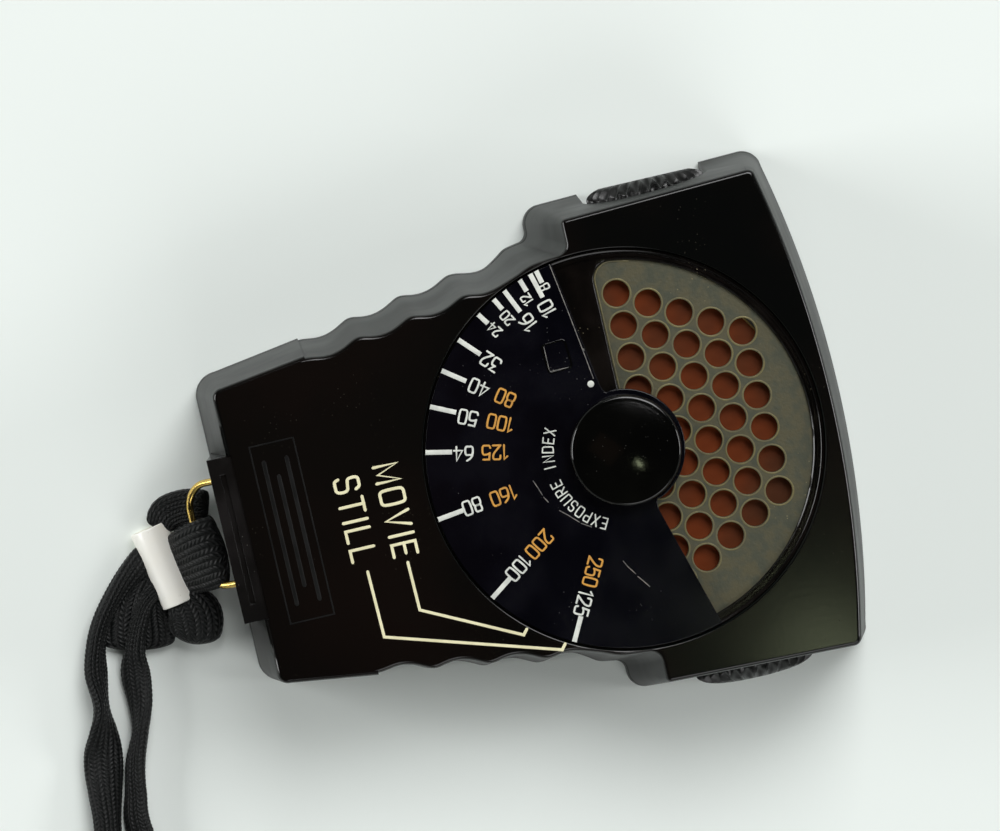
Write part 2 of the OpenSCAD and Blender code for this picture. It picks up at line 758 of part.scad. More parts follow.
module magnet_ring() {
    color([0.45, 0.46, 0.48]) difference() {
        rod(magnet_r, magnet_z, magnet_top, pivot);
        rod(magnet_in_r, magnet_z - 1, magnet_top + 1, pivot);
    }
}

module iron_core() {
    color([0.5, 0.5, 0.52]) rod(core_r, magnet_z, core_top, pivot);
}

module movement_plate() {
    color([0.78, 0.62, 0.3]) difference() {
        union() {
            rod(magnet_r, plate_z, magnet_z, pivot);
            for (s = [-1, 1]) rod(pillar_r + 0.4, plate_z, magnet_z, pivot + [s * pillar_x, 0]);
            block([-pillar_x, -pivot_back - 1.9, plate_z], [pillar_x, 1.9 - pivot_back, magnet_z]);
        }
        difference() {
            rod(magnet_in_r, plate_z - 1, magnet_z + 1, pivot);
            block([-1.8, -pivot_back - magnet_r, plate_z - 2], [1.8, magnet_r - pivot_back, magnet_z + 2]);
        }
        for (s = [-1, 1]) rod(long_screw_r + run_fit, plate_z - 1, magnet_z + 1, pivot + [s * pillar_x, 0]);
    }
}

module movement_pillars() {
    color([0.78, 0.62, 0.3]) for (s = [-1, 1]) for (span = [[bridge_top, plate_z], [magnet_z, upper_bridge_z]])
        difference() {
            rod(pillar_r, span[0], span[1], pivot + [s * pillar_x, 0]);
            rod(long_screw_r + run_fit, span[0] - 1, span[1] + 1, pivot + [s * pillar_x, 0]);
        }
}

module movement_screws() {
    color([0.7, 0.68, 0.62]) for (s = [-1, 1]) {
        rod(1.3, bridge_z - 0.35, bridge_z, pivot + [s * pillar_x, 0]);
        rod(long_screw_r, bridge_z - eps, roof_z + 0.8, pivot + [s * pillar_x, 0]);
    }
}

// A flat bridge across the movement, with holes for the long screws and the jewel.
module bridge(z0, z1) {
    difference() {
        union() {
            block([-pillar_x, -pivot_back - 2.2, z0], [pillar_x, 2.2 - pivot_back, z1]);
            for (s = [-1, 1]) rod(2.2, z0, z1, pivot + [s * pillar_x, 0]);
        }
        for (s = [-1, 1]) rod(long_screw_r + run_fit, z0 - 1, z1 + 1, pivot + [s * pillar_x, 0]);
        rod(1, z0 - 1, z1 + 1, pivot);
    }
}

module lower_bridge() {
    color([0.78, 0.62, 0.3]) bridge(bridge_z, bridge_top);
}

module upper_bridge() {
    color([0.78, 0.62, 0.3]) bridge(upper_bridge_z, roof_z);
}

staff_r = 0.3;

module jewel_bearings() {
    color([0.6, 0.1, 0.2]) {
        difference() {
            rod(1 - run_fit, bridge_z, bridge_top, pivot);
            rod(staff_r + run_fit, bridge_z + 0.2, bridge_top + 1, pivot);
        }
        difference() {
            rod(1 - run_fit, upper_bridge_z, roof_z, pivot);
            rod(staff_r + run_fit, upper_bridge_z - 1, upper_bridge_z + 0.8, pivot);
        }
    }
}

module pivot_staff() {
    color([0.7, 0.7, 0.72]) {
        rod(staff_r, bridge_z + 0.3, needle_z - 0.5, pivot);
        rod(0.6, needle_z - 0.8, needle_z, pivot);
        rod(0.6, coil_top, coil_top + 1.2, pivot);
        rod(staff_r, coil_top + 1, upper_bridge_z + 0.7, pivot);
    }
}

// Rectangular coil that turns in the gap between the core and the magnet.
module moving_coil() {
    color([0.65, 0.3, 0.12]) translate([0, -pivot_back, 0]) rotate([0, 0, -needle_rest]) difference() {
        block([-coil_out_x, -coil_half_y, coil_z], [coil_out_x, coil_half_y, coil_top]);
        block([-coil_in_x, -coil_half_y - 1, coil_z + coil_bar], [coil_in_x, coil_half_y + 1, coil_top - coil_bar]);
    }
}

// Flat spiral of three turns, as one outline that runs out along one side and back along the other.
module hairspring(z) {
    thick = 0.14;
    turns = 3;
    steps = 20 * turns;
    inner = [for (i = [0:steps]) let (t = i / steps, r = 0.75 + 2.2 * t, a = 360 * turns * t) r * [cos(a), sin(a)]];
    outer = [for (i = [steps:-1:0]) let (t = i / steps, r = 0.75 + thick + 2.2 * t, a = 360 * turns * t)
        r * [cos(a), sin(a)]];
    translate([0, -pivot_back, z]) linear_extrude(hairspring_t) polygon(concat(inner, outer));
}

module hairsprings() {
    color([0.7, 0.5, 0.2]) {
        hairspring(hairspring_z);
        hairspring(coil_top + 0.4);
    }
}

module needle() {
    color([0.75, 0.15, 0.08]) translate([0, -pivot_back, needle_z]) rotate([0, 0, -needle_rest]) {
        linear_extrude(needle_t) polygon([[-0.5, 0], [-0.3, 10], [-0.15, needle_len], [0.15, needle_len],
            [0.3, 10], [0.5, 0], [0.8, -5], [-0.8, -5]]);
        cylinder(r = 1.4, h = needle_t);
    }
}

module zero_arm() {
    pin_far = zero_offset - zero_throw;
    color([0.7, 0.68, 0.62]) difference() {
        union() {
            rod(2.1, arm_z, arm_z + arm_t, pivot);
            block([-1.1, -pivot_back - pin_far - 1.4, arm_z], [1.1, -pivot_back, arm_z + arm_t]);
        }
        rod(0.9, arm_z - 1, arm_z + 1, pivot);
        block([-pin_r - fork_gap, -pivot_back - pin_far - 3, arm_z - 1],
            [pin_r + fork_gap, -pivot_back - pin_far + 1, arm_z + 1]);
    }
}

module zero_screw() {
    color([0.7, 0.68, 0.62]) difference() {
        union() {
            rod(2.4, 0.35, 1.35, [0, zero_y]);
            rod(1.2, 1.3, cover_t + 0.1, [0, zero_y]);
            rod(pin_r, cover_t, arm_z + arm_t + 0.1, [0, zero_y + zero_throw]);
        }
        translate([0, zero_y, 0.35]) cube([5, 0.6, 0.9], center = true);
    }
}

module terminal_board() {
    color([0.5, 0.32, 0.15]) block([-10.4, board_y - 1.2, cover_t + 1], [10.4, board_y, roof_z]);
}

// Wound bobbin on the board, in the room above the magnet.
module series_resistor() {
    bobbin_r = (roof_z - magnet_top) / 2 - 0.5;
    color([0.55, 0.4, 0.25]) translate([0, board_y, magnet_top + 0.5 + bobbin_r]) rotate([-90, 0, 0])
        cylinder(r = bobbin_r, h = 3.4);
}

rear_case();
front_cover();
front_window();
case_screws();
lug_block();
strap_ring();
strap_loop();
strap_stub();
strap_clip();
strap_cord();
dial_bezel();
cell_baffle();
cell_gasket();
cell_contact_ring();
selenium_cell();
cell_back_spring();
cell_holder();
holder_screws();
cell_leads();
dial_bush();
exposure_dial();
dial_knob();
dial_spindle();
spring_washer();
retaining_clip();
scale_plate();
scale_drum();
drum_shaft();
left_knob();
right_knob();
drum_bushes();
detent_wheel();
click_spring();
magnet_ring();
iron_core();
movement_plate();
movement_pillars();
movement_screws();
lower_bridge();
upper_bridge();
jewel_bearings();
pivot_staff();
moving_coil();
hairsprings();
needle();
zero_arm();
zero_screw();
terminal_board();
series_resistor();
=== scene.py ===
"""Looks of a handheld light meter: case, exposure dial, cell window, knobs, scales and strap.

Sizes in the classes are millimetres in the part's own frame, and a mesh is stored in metres.
"""

import logging
import math
from dataclasses import dataclass, field
from enum import Enum
from typing import Callable, Sequence

import bmesh
import bpy
import numpy as np
from mathutils import Matrix, Vector


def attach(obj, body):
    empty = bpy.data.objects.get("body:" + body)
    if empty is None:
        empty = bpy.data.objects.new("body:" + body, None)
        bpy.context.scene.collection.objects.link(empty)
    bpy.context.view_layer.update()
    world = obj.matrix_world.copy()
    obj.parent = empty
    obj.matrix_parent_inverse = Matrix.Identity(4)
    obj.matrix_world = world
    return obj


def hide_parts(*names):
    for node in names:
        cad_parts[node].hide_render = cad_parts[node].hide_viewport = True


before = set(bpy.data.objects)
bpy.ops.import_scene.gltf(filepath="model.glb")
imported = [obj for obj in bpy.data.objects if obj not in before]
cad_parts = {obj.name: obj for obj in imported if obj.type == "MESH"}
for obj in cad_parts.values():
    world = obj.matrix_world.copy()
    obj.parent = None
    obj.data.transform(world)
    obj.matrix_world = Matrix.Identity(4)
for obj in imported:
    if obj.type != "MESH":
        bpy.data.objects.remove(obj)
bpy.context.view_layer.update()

MM = 0.001
log = logging.getLogger("light_meter")

Array = np.ndarray
Colour = tuple[float, float, float]


# ---- Shapes worked out as arrays ----


@dataclass
class Shell:
    """A surface: points in mm, faces as tuples of point numbers, and a UV pair for each corner."""

    points: Array
    faces: list[tuple[int, ...]]
    corner_uv: Array | None = None

    def mapped(self, rule: Callable[[Array], Array]) -> "Shell":
        """This surface with its whole point array sent through a rule."""
        return Shell(rule(self.points), self.faces, self.corner_uv)

    def piece(self, name: str, weld: bool = True, crease: float = 35.0) -> bpy.types.Object:
        """Makes the mesh object.

        Args:
            name: name of the piece.
            weld: merge doubled points and point the faces outwards.
            crease: edges sharper than this many degrees stay sharp in the shading.

        Returns:
            The new object, at the origin, in the scene.
        """
        mesh = bpy.data.meshes.new(name)
        mesh.from_pydata((self.points * MM).tolist(), [], self.faces)
        if self.corner_uv is not None:
            layer = mesh.uv_layers.new(name="UVMap")
            layer.data.foreach_set("uv", self.corner_uv.astype(np.float32).ravel())
        if weld:
            tidy_mesh(mesh)
        obj = bpy.data.objects.new(name, mesh)
        bpy.context.scene.collection.objects.link(obj)
        soften(obj, crease)
        return obj


def merged(shells: Sequence[Shell]) -> Shell:
    """Several surfaces as one, in their order and without UVs.

    Args:
        shells: the surfaces.

    Returns:
        One surface.
    """
    starts = np.cumsum([0] + [len(shell.points) for shell in shells]).tolist()
    faces = [tuple(i + start for i in face) for shell, start in zip(shells, starts) for face in shell.faces]
    return Shell(np.vstack([shell.points for shell in shells]), faces)


def tidy_mesh(mesh: bpy.types.Mesh, gap: float = 2e-7) -> None:
    """Merges points closer than gap metres, drops faces of no area and points the rest outwards.

    Args:
        mesh: the mesh to clean.
        gap: distance in metres under which points are one.
    """
    work = bmesh.new()
    work.from_mesh(mesh)
    bmesh.ops.remove_doubles(work, verts=work.verts, dist=gap)
    bmesh.ops.dissolve_degenerate(work, edges=work.edges, dist=gap)
    bmesh.ops.recalc_face_normals(work, faces=work.faces)
    work.to_mesh(mesh)
    work.free()


def soften(obj: bpy.types.Object, crease: float) -> None:
    """Shades the piece smooth, with edges sharper than crease degrees kept sharp.

    Each corner's normal is the mean of the faces round it by their areas, so that a large flat
    face beside a narrow rounding still shades as flat.

    Args:
        obj: the piece.
        crease: angle in degrees past which an edge stays sharp.
    """
    obj.data.shade_smooth()
    obj.data.set_sharp_from_angle(angle=math.radians(crease))
    level = obj.modifiers.new("level", "WEIGHTED_NORMAL")
    level.keep_sharp, level.weight = True, 50
    bake_modifiers(obj)


def skin(rings: Array, caps: bool = True, ring: bool = False,
         uv: tuple[float, float] | None = None) -> Shell:
    """A tube through closed rings of points, an array of (rings, points, 3).

    Each face joins point (i, j) to (i, j + 1), (i + 1, j + 1) and (i + 1, j), j being counted
    round the ring.

    Args:
        rings: the rings in order.
        caps: close both ends, each with one face.
        ring: join the last ring to the first instead.
        uv: UV step from ring to ring and from point to point, for a surface with UVs.

    Returns:
        The surface.
    """
    rows, cols = rings.shape[:2]
    i, j = (k.ravel() for k in np.meshgrid(np.arange(rows - (not ring)), np.arange(cols), indexing="ij"))
    corner_i = np.stack([i, i, i + 1, i + 1], 1)
    corner_j = np.stack([j, j + 1, j + 1, j], 1)
    faces = [tuple(q) for q in ((corner_i % rows) * cols + corner_j % cols).tolist()]
    closed = caps and not ring
    if closed:
        last = (rows - 1) * cols
        faces += [tuple(range(cols))[::-1], tuple(range(last, last + cols))]
    shell = Shell(rings.reshape(-1, 3), faces)
    if uv:
        shell.corner_uv = np.stack([corner_i, corner_j], -1).reshape(-1, 2) * np.array(uv)
        if closed:
            shell.corner_uv = np.vstack([shell.corner_uv, np.zeros((2 * cols, 2))])
    return shell


def arc(centre: Sequence[float], r: float, a0: float, a1: float, n: int) -> Array:
    """n points of a circle from angle a0 to a1 degrees: centre + r·(cos a, sin a).

    Args:
        centre: its centre.
        r: its radius.
        a0: first angle.
        a1: last angle.
        n: how many points.

    Returns:
        (n, 2) points.
    """
    a = np.radians(np.linspace(a0, a1, n))
    return np.stack([centre[0] + r * np.cos(a), centre[1] + r * np.sin(a)], 1)


def lathe(profile: Sequence[tuple[float, float]], n: int = 96,
          at: tuple[float, float] = (0, 0)) -> Shell:
    """A profile of (radius, height) pairs turned about an upright axis: (r cos a, r sin a, z).

    Args:
        profile: pairs from one end of the axis to the other.
        n: points round the axis.
        at: x and y of the axis.

    Returns:
        A closed surface.
    """
    a = np.linspace(0, 2 * np.pi, n, endpoint=False)
    r, z = np.array(profile, float).T
    x = at[0] + r[:, None] * np.cos(a)
    y = at[1] + r[:, None] * np.sin(a)
    return skin(np.stack([x, y, np.broadcast_to(z[:, None], x.shape)], -1), caps=False)


def bore(r: float, z0: float, z1: float, at: tuple[float, float] = (0, 0)) -> Shell:
    """An upright round pin of radius r from z0 to z1, used to cut with.

    Args:
        r: its radius.
        z0: its lower end.
        z1: its upper end.
        at: x and y of its axis.

    Returns:
        A surface to cut with.
    """
    return lathe([(0, z0), (r, z0), (r, z1), (0, z1)], 48, at)


def inset(outline: Array, amount: float) -> Array:
    """Each point of a closed counter-clockwise outline moved inwards along its own normal.

    Args:
        outline: (n, 2) points.
        amount: mm inwards, or outwards when negative.

    Returns:
        The moved points.
    """
    step = np.roll(outline, -1, 0) - np.roll(outline, 1, 0)
    normal = np.stack([-step[:, 1], step[:, 0]], 1)
    return outline + amount * normal / np.linalg.norm(normal, axis=1, keepdims=True)


def stacked(levels: Sequence[tuple[Array, float]]) -> Shell:
    """A solid through flat outlines of equal count, each laid at its height, closed at both ends.

    Args:
        levels: pairs of outline and height, from the bottom up.

    Returns:
        The solid.
    """
    return skin(np.array([np.column_stack([line, np.full(len(line), z)]) for line, z in levels]))


def plate(outline: Array, z0: float, z1: float, bevel: float = 0.0) -> Shell:
    """A flat plate over a counter-clockwise outline, its top edge rounded as a quarter circle.

    The rings are the outline at z0, then inset by b(1−cos a) at height z1−b+b·sin a.

    Args:
        outline: (n, 2) points.
        z0: lower level.
        z1: upper level.
        bevel: radius of the rounding.

    Returns:
        A closed surface.
    """
    levels = [(0.0, z0)]
    if bevel:
        a = np.radians(np.linspace(0, 90, 5))
        levels += list(zip(bevel * (1 - np.cos(a)), z1 - bevel + bevel * np.sin(a)))
    else:
        levels.append((0.0, z1))
    return stacked([(inset(outline, i), z) for i, z in levels])


def box(lo: Sequence[float], hi: Sequence[float]) -> Shell:
    """A block between two corners, used to cut with.

    Args:
        lo: the lowest corner.
        hi: the highest corner.

    Returns:
        A surface to cut with.
    """
    corners = np.array([[lo[0], lo[1]], [hi[0], lo[1]], [hi[0], hi[1]], [lo[0], hi[1]]], float)
    return plate(corners, lo[2], hi[2])


def along_x(shell: Shell) -> Shell:
    """A surface made upright, laid so that its (x, y, z) becomes (z, x, y)."""
    return shell.mapped(lambda p: p[:, [2, 0, 1]])


def spline(knots: Array, per_span: int = 12) -> Array:
    """A Catmull-Rom curve through knots of any width, as per_span points for each span.

    Args:
        knots: the rows that the curve passes through.
        per_span: points for each span.

    Returns:
        The curve's rows, the last knot included.
    """
    k = np.vstack([2 * knots[0] - knots[1], knots, 2 * knots[-1] - knots[-2]])
    t = np.linspace(0, 1, per_span, endpoint=False)[None, :, None]
    p0, p1, p2, p3 = (k[i : len(k) - 3 + i, None, :] for i in range(4))
    curve = 0.5 * (2 * p1 + (p2 - p0) * t + (2 * p0 - 5 * p1 + 4 * p2 - p3) * t**2
                   + (3 * p1 - p0 - 3 * p2 + p3) * t**3)
    return np.vstack([curve.reshape(-1, knots.shape[1]), knots[-1]])


def even(curve: Array, step: float) -> Array:
    """A curve taken again at an even step of length, its first three columns being the place.

    Args:
        curve: rows with the place first.
        step: distance between the new rows in mm.

    Returns:
        The new rows, both ends included.
    """
    gaps = np.linalg.norm(np.diff(curve[:, :3], axis=0), axis=1)
    s = np.concatenate([[0], np.cumsum(gaps)])
    at = np.linspace(0, s[-1], max(3, int(round(s[-1] / step)) + 1))
    return np.stack([np.interp(at, s, column) for column in curve.T], 1)


def carve(obj: bpy.types.Object, *cutters: Shell) -> bpy.types.Object:
    """Cuts each closed surface out of the object, one after another, and keeps the result.

    Args:
        obj: the piece.
        cutters: closed surfaces to take away.

    Returns:
        The same piece.
    """
    tools = []
    for number, cutter in enumerate(cutters):
        tool = cutter.piece(f"cutter_{number}")
        cut = obj.modifiers.new("cut", "BOOLEAN")
        cut.operation, cut.solver, cut.object = "DIFFERENCE", "EXACT", tool
        tools.append(tool)
    bake_modifiers(obj)
    for tool in tools:
        bpy.data.meshes.remove(tool.data)
    return obj


def bake_modifiers(obj: bpy.types.Object) -> None:
    """Replaces the object's mesh by the one its modifiers give.

    Args:
        obj: the piece.
    """
    seen = obj.evaluated_get(bpy.context.evaluated_depsgraph_get())
    mesh = bpy.data.meshes.new_from_object(seen)
    obj.modifiers.clear()
    obj.data = mesh


def refined(node: str, name: str, width: float, turn: float = 30) -> bpy.types.Object:
    """A new piece from a CAD node's shape, with its flat faces joined up and its edges rounded.

    Args:
        node: the CAD node that the piece stands for.
        name: name of the piece.
        width: radius of the rounding in mm.
        turn: edges sharper than this many degrees are rounded.

    Returns:
        The new object.
    """
    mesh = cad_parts[node].data.copy()
    tidy_mesh(mesh, 2e-6)
    work = bmesh.new()
    work.from_mesh(mesh)
    bmesh.ops.dissolve_limit(work, angle_limit=math.radians(1), verts=work.verts, edges=work.edges)
    work.to_mesh(mesh)
    work.free()
    mesh.materials.clear()
    obj = bpy.data.objects.new(name, mesh)
    bpy.context.scene.collection.objects.link(obj)
    edge = obj.modifiers.new("edge", "BEVEL")
    edge.width, edge.segments, edge.limit_method = width * MM, 2, "ANGLE"
    edge.angle_limit, edge.use_clamp_overlap = math.radians(turn), True
    bake_modifiers(obj)
    soften(obj, turn)
    return obj


# ---- Engraved lettering ----

CURVED, STRAIGHT = True, False
WIDEST_BEND = 1.35  # how much wider a stroke may grow at a sharp bend
Stroke = tuple[bool, tuple[tuple[float, float], ...]]

# Width of each sign and its strokes, in a box one unit high.
GLYPHS: dict[str, tuple[float, tuple[Stroke, ...]]] = {
    "0": (0.6, ((CURVED, ((0.3, 1), (0.04, 1), (0, 0.7), (0, 0.3), (0.04, 0), (0.3, 0), (0.56, 0),
                          (0.6, 0.3), (0.6, 0.7), (0.56, 1), (0.3, 1))),)),
    "1": (0.3, ((STRAIGHT, ((0.0, 0.8), (0.24, 1), (0.24, 0))),)),
    "2": (0.58, ((CURVED, ((0.01, 0.74), (0.03, 1), (0.3, 1), (0.58, 1), (0.58, 0.66), (0.4, 0.42), (0, 0))),
                 (STRAIGHT, ((0, 0), (0.58, 0))))),
    "3": (0.6, ((STRAIGHT, ((0.04, 1), (0.54, 1), (0.26, 0.6))),
                (CURVED, ((0.26, 0.6), (0.6, 0.62), (0.62, 0), (0.28, 0), (0.06, 0), (0, 0.17))))),
    "4": (0.64, ((STRAIGHT, ((0.46, 0), (0.46, 1), (0, 0.27), (0.64, 0.27))),)),
    "5": (0.6, ((STRAIGHT, ((0.54, 1), (0.1, 1), (0.05, 0.55))),
                (CURVED, ((0.05, 0.55), (0.2, 0.64), (0.58, 0.66), (0.62, 0.3), (0.58, 0), (0.28, 0),
                          (0.06, 0), (0, 0.16))))),
    "6": (0.6, ((CURVED, ((0.46, 1), (0.12, 0.8), (0, 0.45), (0, 0), (0.3, 0), (0.6, 0), (0.6, 0.6),
                          (0.3, 0.6), (0.05, 0.6), (0.01, 0.34))),)),
    "7": (0.58, ((STRAIGHT, ((0, 1), (0.58, 1), (0.2, 0))),)),
    "8": (0.6, ((CURVED, ((0.3, 1), (0.05, 1), (0.05, 0.54), (0.3, 0.54), (0.55, 0.54), (0.55, 1), (0.3, 1))),
                (CURVED, ((0.3, 0.54), (0, 0.54), (0, 0), (0.3, 0), (0.6, 0), (0.6, 0.54), (0.3, 0.54))))),
    ".": (0.1, ((STRAIGHT, ((0.04, 0), (0.06, 0.02))),)),
    "D": (0.6, ((STRAIGHT, ((0, 0), (0, 1))),
                (CURVED, ((0, 1), (0.35, 1), (0.62, 0.95), (0.62, 0.5), (0.62, 0.05), (0.35, 0), (0, 0))))),
    "E": (0.52, ((STRAIGHT, ((0.52, 1), (0, 1), (0, 0), (0.52, 0))), (STRAIGHT, ((0, 0.52), (0.44, 0.52))))),
    "I": (0.04, ((STRAIGHT, ((0.02, 0), (0.02, 1))),)),
    "L": (0.5, ((STRAIGHT, ((0, 1), (0, 0), (0.5, 0))),)),
    "M": (0.72, ((STRAIGHT, ((0, 0), (0, 1), (0.36, 0.1), (0.72, 1), (0.72, 0))),)),
    "N": (0.6, ((STRAIGHT, ((0, 0), (0, 1), (0.6, 0), (0.6, 1))),)),
    "O": (0.66, ((CURVED, ((0.33, 1), (0.04, 1), (0, 0.7), (0, 0.3), (0.04, 0), (0.33, 0), (0.62, 0),
                           (0.66, 0.3), (0.66, 0.7), (0.62, 1), (0.33, 1))),)),
    "P": (0.56, ((STRAIGHT, ((0, 0), (0, 1))),
                 (CURVED, ((0, 1), (0.3, 1), (0.58, 1), (0.58, 0.46), (0.3, 0.46), (0, 0.46))))),
    "R": (0.58, ((STRAIGHT, ((0, 0), (0, 1))), (STRAIGHT, ((0.28, 0.46), (0.58, 0))),
                 (CURVED, ((0, 1), (0.3, 1), (0.58, 1), (0.58, 0.46), (0.3, 0.46), (0, 0.46))))),
    "S": (0.58, ((CURVED, ((0.55, 0.84), (0.46, 1), (0.28, 1), (0.02, 1), (0.02, 0.56), (0.3, 0.52),
                           (0.6, 0.48), (0.58, 0), (0.28, 0), (0.07, 0), (0, 0.17))),)),
    "T": (0.6, ((STRAIGHT, ((0, 1), (0.6, 1))), (STRAIGHT, ((0.3, 1), (0.3, 0))))),
    "U": (0.6, ((CURVED, ((0, 1), (0, 0.3), (0, 0), (0.3, 0), (0.6, 0), (0.6, 0.3), (0.6, 1))),)),
    "V": (0.64, ((STRAIGHT, ((0, 1), (0.32, 0), (0.64, 1))),)),
    "X": (0.56, ((STRAIGHT, ((0, 0), (0.56, 1))), (STRAIGHT, ((0, 1), (0.56, 0))))),
    " ": (0.3, ()),
}


def cut_corners(line: Array, rounds: int = 3) -> Array:
    """Chaikin's rule: each span gives the points at 1/4 and 3/4 of it, and both ends stay.

    Args:
        line: (n, 2) points.
        rounds: how many times it is done.

    Returns:
        The smoother line.
    """
    for _ in range(rounds):
        near = 0.75 * line[:-1] + 0.25 * line[1:]
        far = 0.25 * line[:-1] + 0.75 * line[1:]
        line = np.vstack([line[:1], np.stack([near, far], 1).reshape(-1, 2), line[-1:]])
    return line


def lettering(text: str, height: float, gap: float = 0.24, wide: float = 1.0) -> list[Array]:
    """Strokes of a line of text about its own centre.

    Args:
        text: signs that GLYPHS holds.
        height: height of a capital.
        gap: room between signs, as a share of the height.
        wide: how much wider than its plain form a sign is.

    Returns:
        Lines of points in mm.
    """
    lines, x = [], 0.0
    for sign in text:
        width, strokes = GLYPHS[sign]
        for curved, points in strokes:
            line = np.array(points, float) * [wide, 1] + [x, 0]
            lines.append(cut_corners(line) if curved else line)
        x += width * wide + gap
    centre = np.array([(x - gap) / 2, 0.5])
    return [(line - centre) * height for line in lines]


def placed(lines: list[Array], at: Sequence[float], turn: float) -> list[Array]:
    """Lines turned by so many degrees counter-clockwise and moved to a place.

    Args:
        lines: lines about their own centre.
        at: where the centre goes.
        turn: degrees counter-clockwise.

    Returns:
        The placed lines.
    """
    c, s = math.cos(math.radians(turn)), math.sin(math.radians(turn))
    return [line @ np.array([[c, s], [-s, c]]) + np.array(at[:2], float) for line in lines]


def paint_strokes(lines: list[Array], width: float, level: float, lift: float = 0.05,
                  square: bool = False) -> Shell:
    """Thin domed strokes of paint along lines on a flat face.

    A section is the line moved sideways by w/2·(−1, −0.7, 0, 0.7, 1) and up by lift·(−0.4, 0.8,
    1, 0.8, −0.4), its foot being just under the face. A round end has more sections, moved on by
    w/2·sin a and narrowed by cos a.

    Args:
        lines: lines of points in the plane.
        width: width of a stroke.
        level: height of the face.
        lift: height of the paint over the face.
        square: leave the ends square.

    Returns:
        Closed strokes in one surface.
    """
    across = np.array([-1, -0.7, 0, 0.7, 1])
    rise = np.array([-0.4, 0.8, 1, 0.8, -0.4]) * lift
    bend = np.radians([82, 60, 30])
    strokes = []
    for line in lines:
        step = np.diff(line, axis=0)
        moved = np.linalg.norm(step, axis=1) > 1e-9
        step = step[moved]
        unit = step / np.linalg.norm(step, axis=1, keepdims=True)
        mid = line[np.concatenate([[True], moved])]
        t = np.vstack([unit[:1], unit[:-1] + unit[1:], unit[-1:]])
        length = np.maximum(np.linalg.norm(t, axis=1, keepdims=True), 0.7)
        t = t / np.linalg.norm(t, axis=1, keepdims=True)
        share = np.ones(len(mid))
        share[1:-1] = np.minimum(2 / length[1:-1, 0], WIDEST_BEND)
        if not square:
            mid = np.vstack([mid[0] - t[0] * width / 2 * np.sin(bend)[:, None], mid,
                             mid[-1] + t[-1] * width / 2 * np.sin(bend[::-1])[:, None]])
            t = np.vstack([np.repeat(t[:1], 3, 0), t, np.repeat(t[-1:], 3, 0)])
            share = np.concatenate([np.cos(bend), share, np.cos(bend[::-1])])
        side = np.stack([-t[:, 1], t[:, 0]], 1) * (share * width / 2)[:, None]
        flat = mid[:, None, :] + side[:, None, :] * across[None, :, None]
        z = np.broadcast_to(level + rise, flat.shape[:2])
        strokes.append(skin(np.concatenate([flat, z[..., None]], -1)))
    return merged(strokes)


# ---- Shared effects ----


class Tree:
    """Adds nodes to a node tree and links them."""

    def __init__(self, tree: bpy.types.NodeTree) -> None:
        """Keeps the tree."""
        self.tree = tree

    def add(self, kind: str, inputs: dict | None = None, **settings: object) -> bpy.types.Node:
        """Adds a node.

        Args:
            kind: the node's type name.
            inputs: socket name or number, with a plain value or an output socket to link.
            settings: the node's own properties.

        Returns:
            The node.
        """
        node = self.tree.nodes.new(kind)
        for key, value in settings.items():
            setattr(node, key, value)
        self.put(node, inputs or {})
        return node

    def put(self, node: bpy.types.Node, inputs: dict) -> None:
        """Sets each input to its plain value, or links the output socket given for it.

        Args:
            node: the node.
            inputs: socket name or number, with a value or an output socket.
        """
        for key, value in inputs.items():
            if isinstance(value, bpy.types.NodeSocket):
                self.tree.links.new(value, node.inputs[key])
            else:
                node.inputs[key].default_value = value

    def sum(self, rule: str, a: object, b: object = 0.0, clamp: bool = False) -> bpy.types.NodeSocket:
        """The output of a Math node on two values or sockets."""
        return self.add("ShaderNodeMath", {0: a, 1: b}, operation=rule, use_clamp=clamp).outputs[0]

    def blend(self, share: object, a: object, b: object) -> bpy.types.NodeSocket:
        """The output of a colour Mix node."""
        return self.add("ShaderNodeMix", {0: share, 6: a, 7: b}, data_type="RGBA").outputs[2]

    def step(self, value: object, low: float, high: float) -> bpy.types.NodeSocket:
        """A smooth 0 to 1 as the value goes from low to high."""
        return self.add("ShaderNodeMapRange", {0: value, 1: low, 2: high},
                        interpolation_type="SMOOTHSTEP").outputs[0]


def new_group(name: str, inputs: dict[str, object]) -> tuple[Tree, dict, bpy.types.Node]:
    """Starts a node group that puts out a colour, a roughness and a height.

    Args:
        name: the group's name.
        inputs: socket name with its default, a number, a colour or None for a vector.

    Returns:
        The tree, its input sockets by name, and its output node.
    """
    tree = bpy.data.node_groups.new(name, "ShaderNodeTree")
    kinds = {type(None): "NodeSocketVector", tuple: "NodeSocketColor", float: "NodeSocketFloat"}
    for key, value in inputs.items():
        made = tree.interface.new_socket(key, in_out="INPUT", socket_type=kinds[type(value)])
        if value is not None:
            made.default_value = value
    for key, kind in (("Colour", tuple), ("Roughness", float), ("Height", float)):
        tree.interface.new_socket(key, in_out="OUTPUT", socket_type=kinds[kind])
    ins = tree.nodes.new("NodeGroupInput").outputs
    return Tree(tree), {key: ins[key] for key in inputs}, tree.nodes.new("NodeGroupOutput")


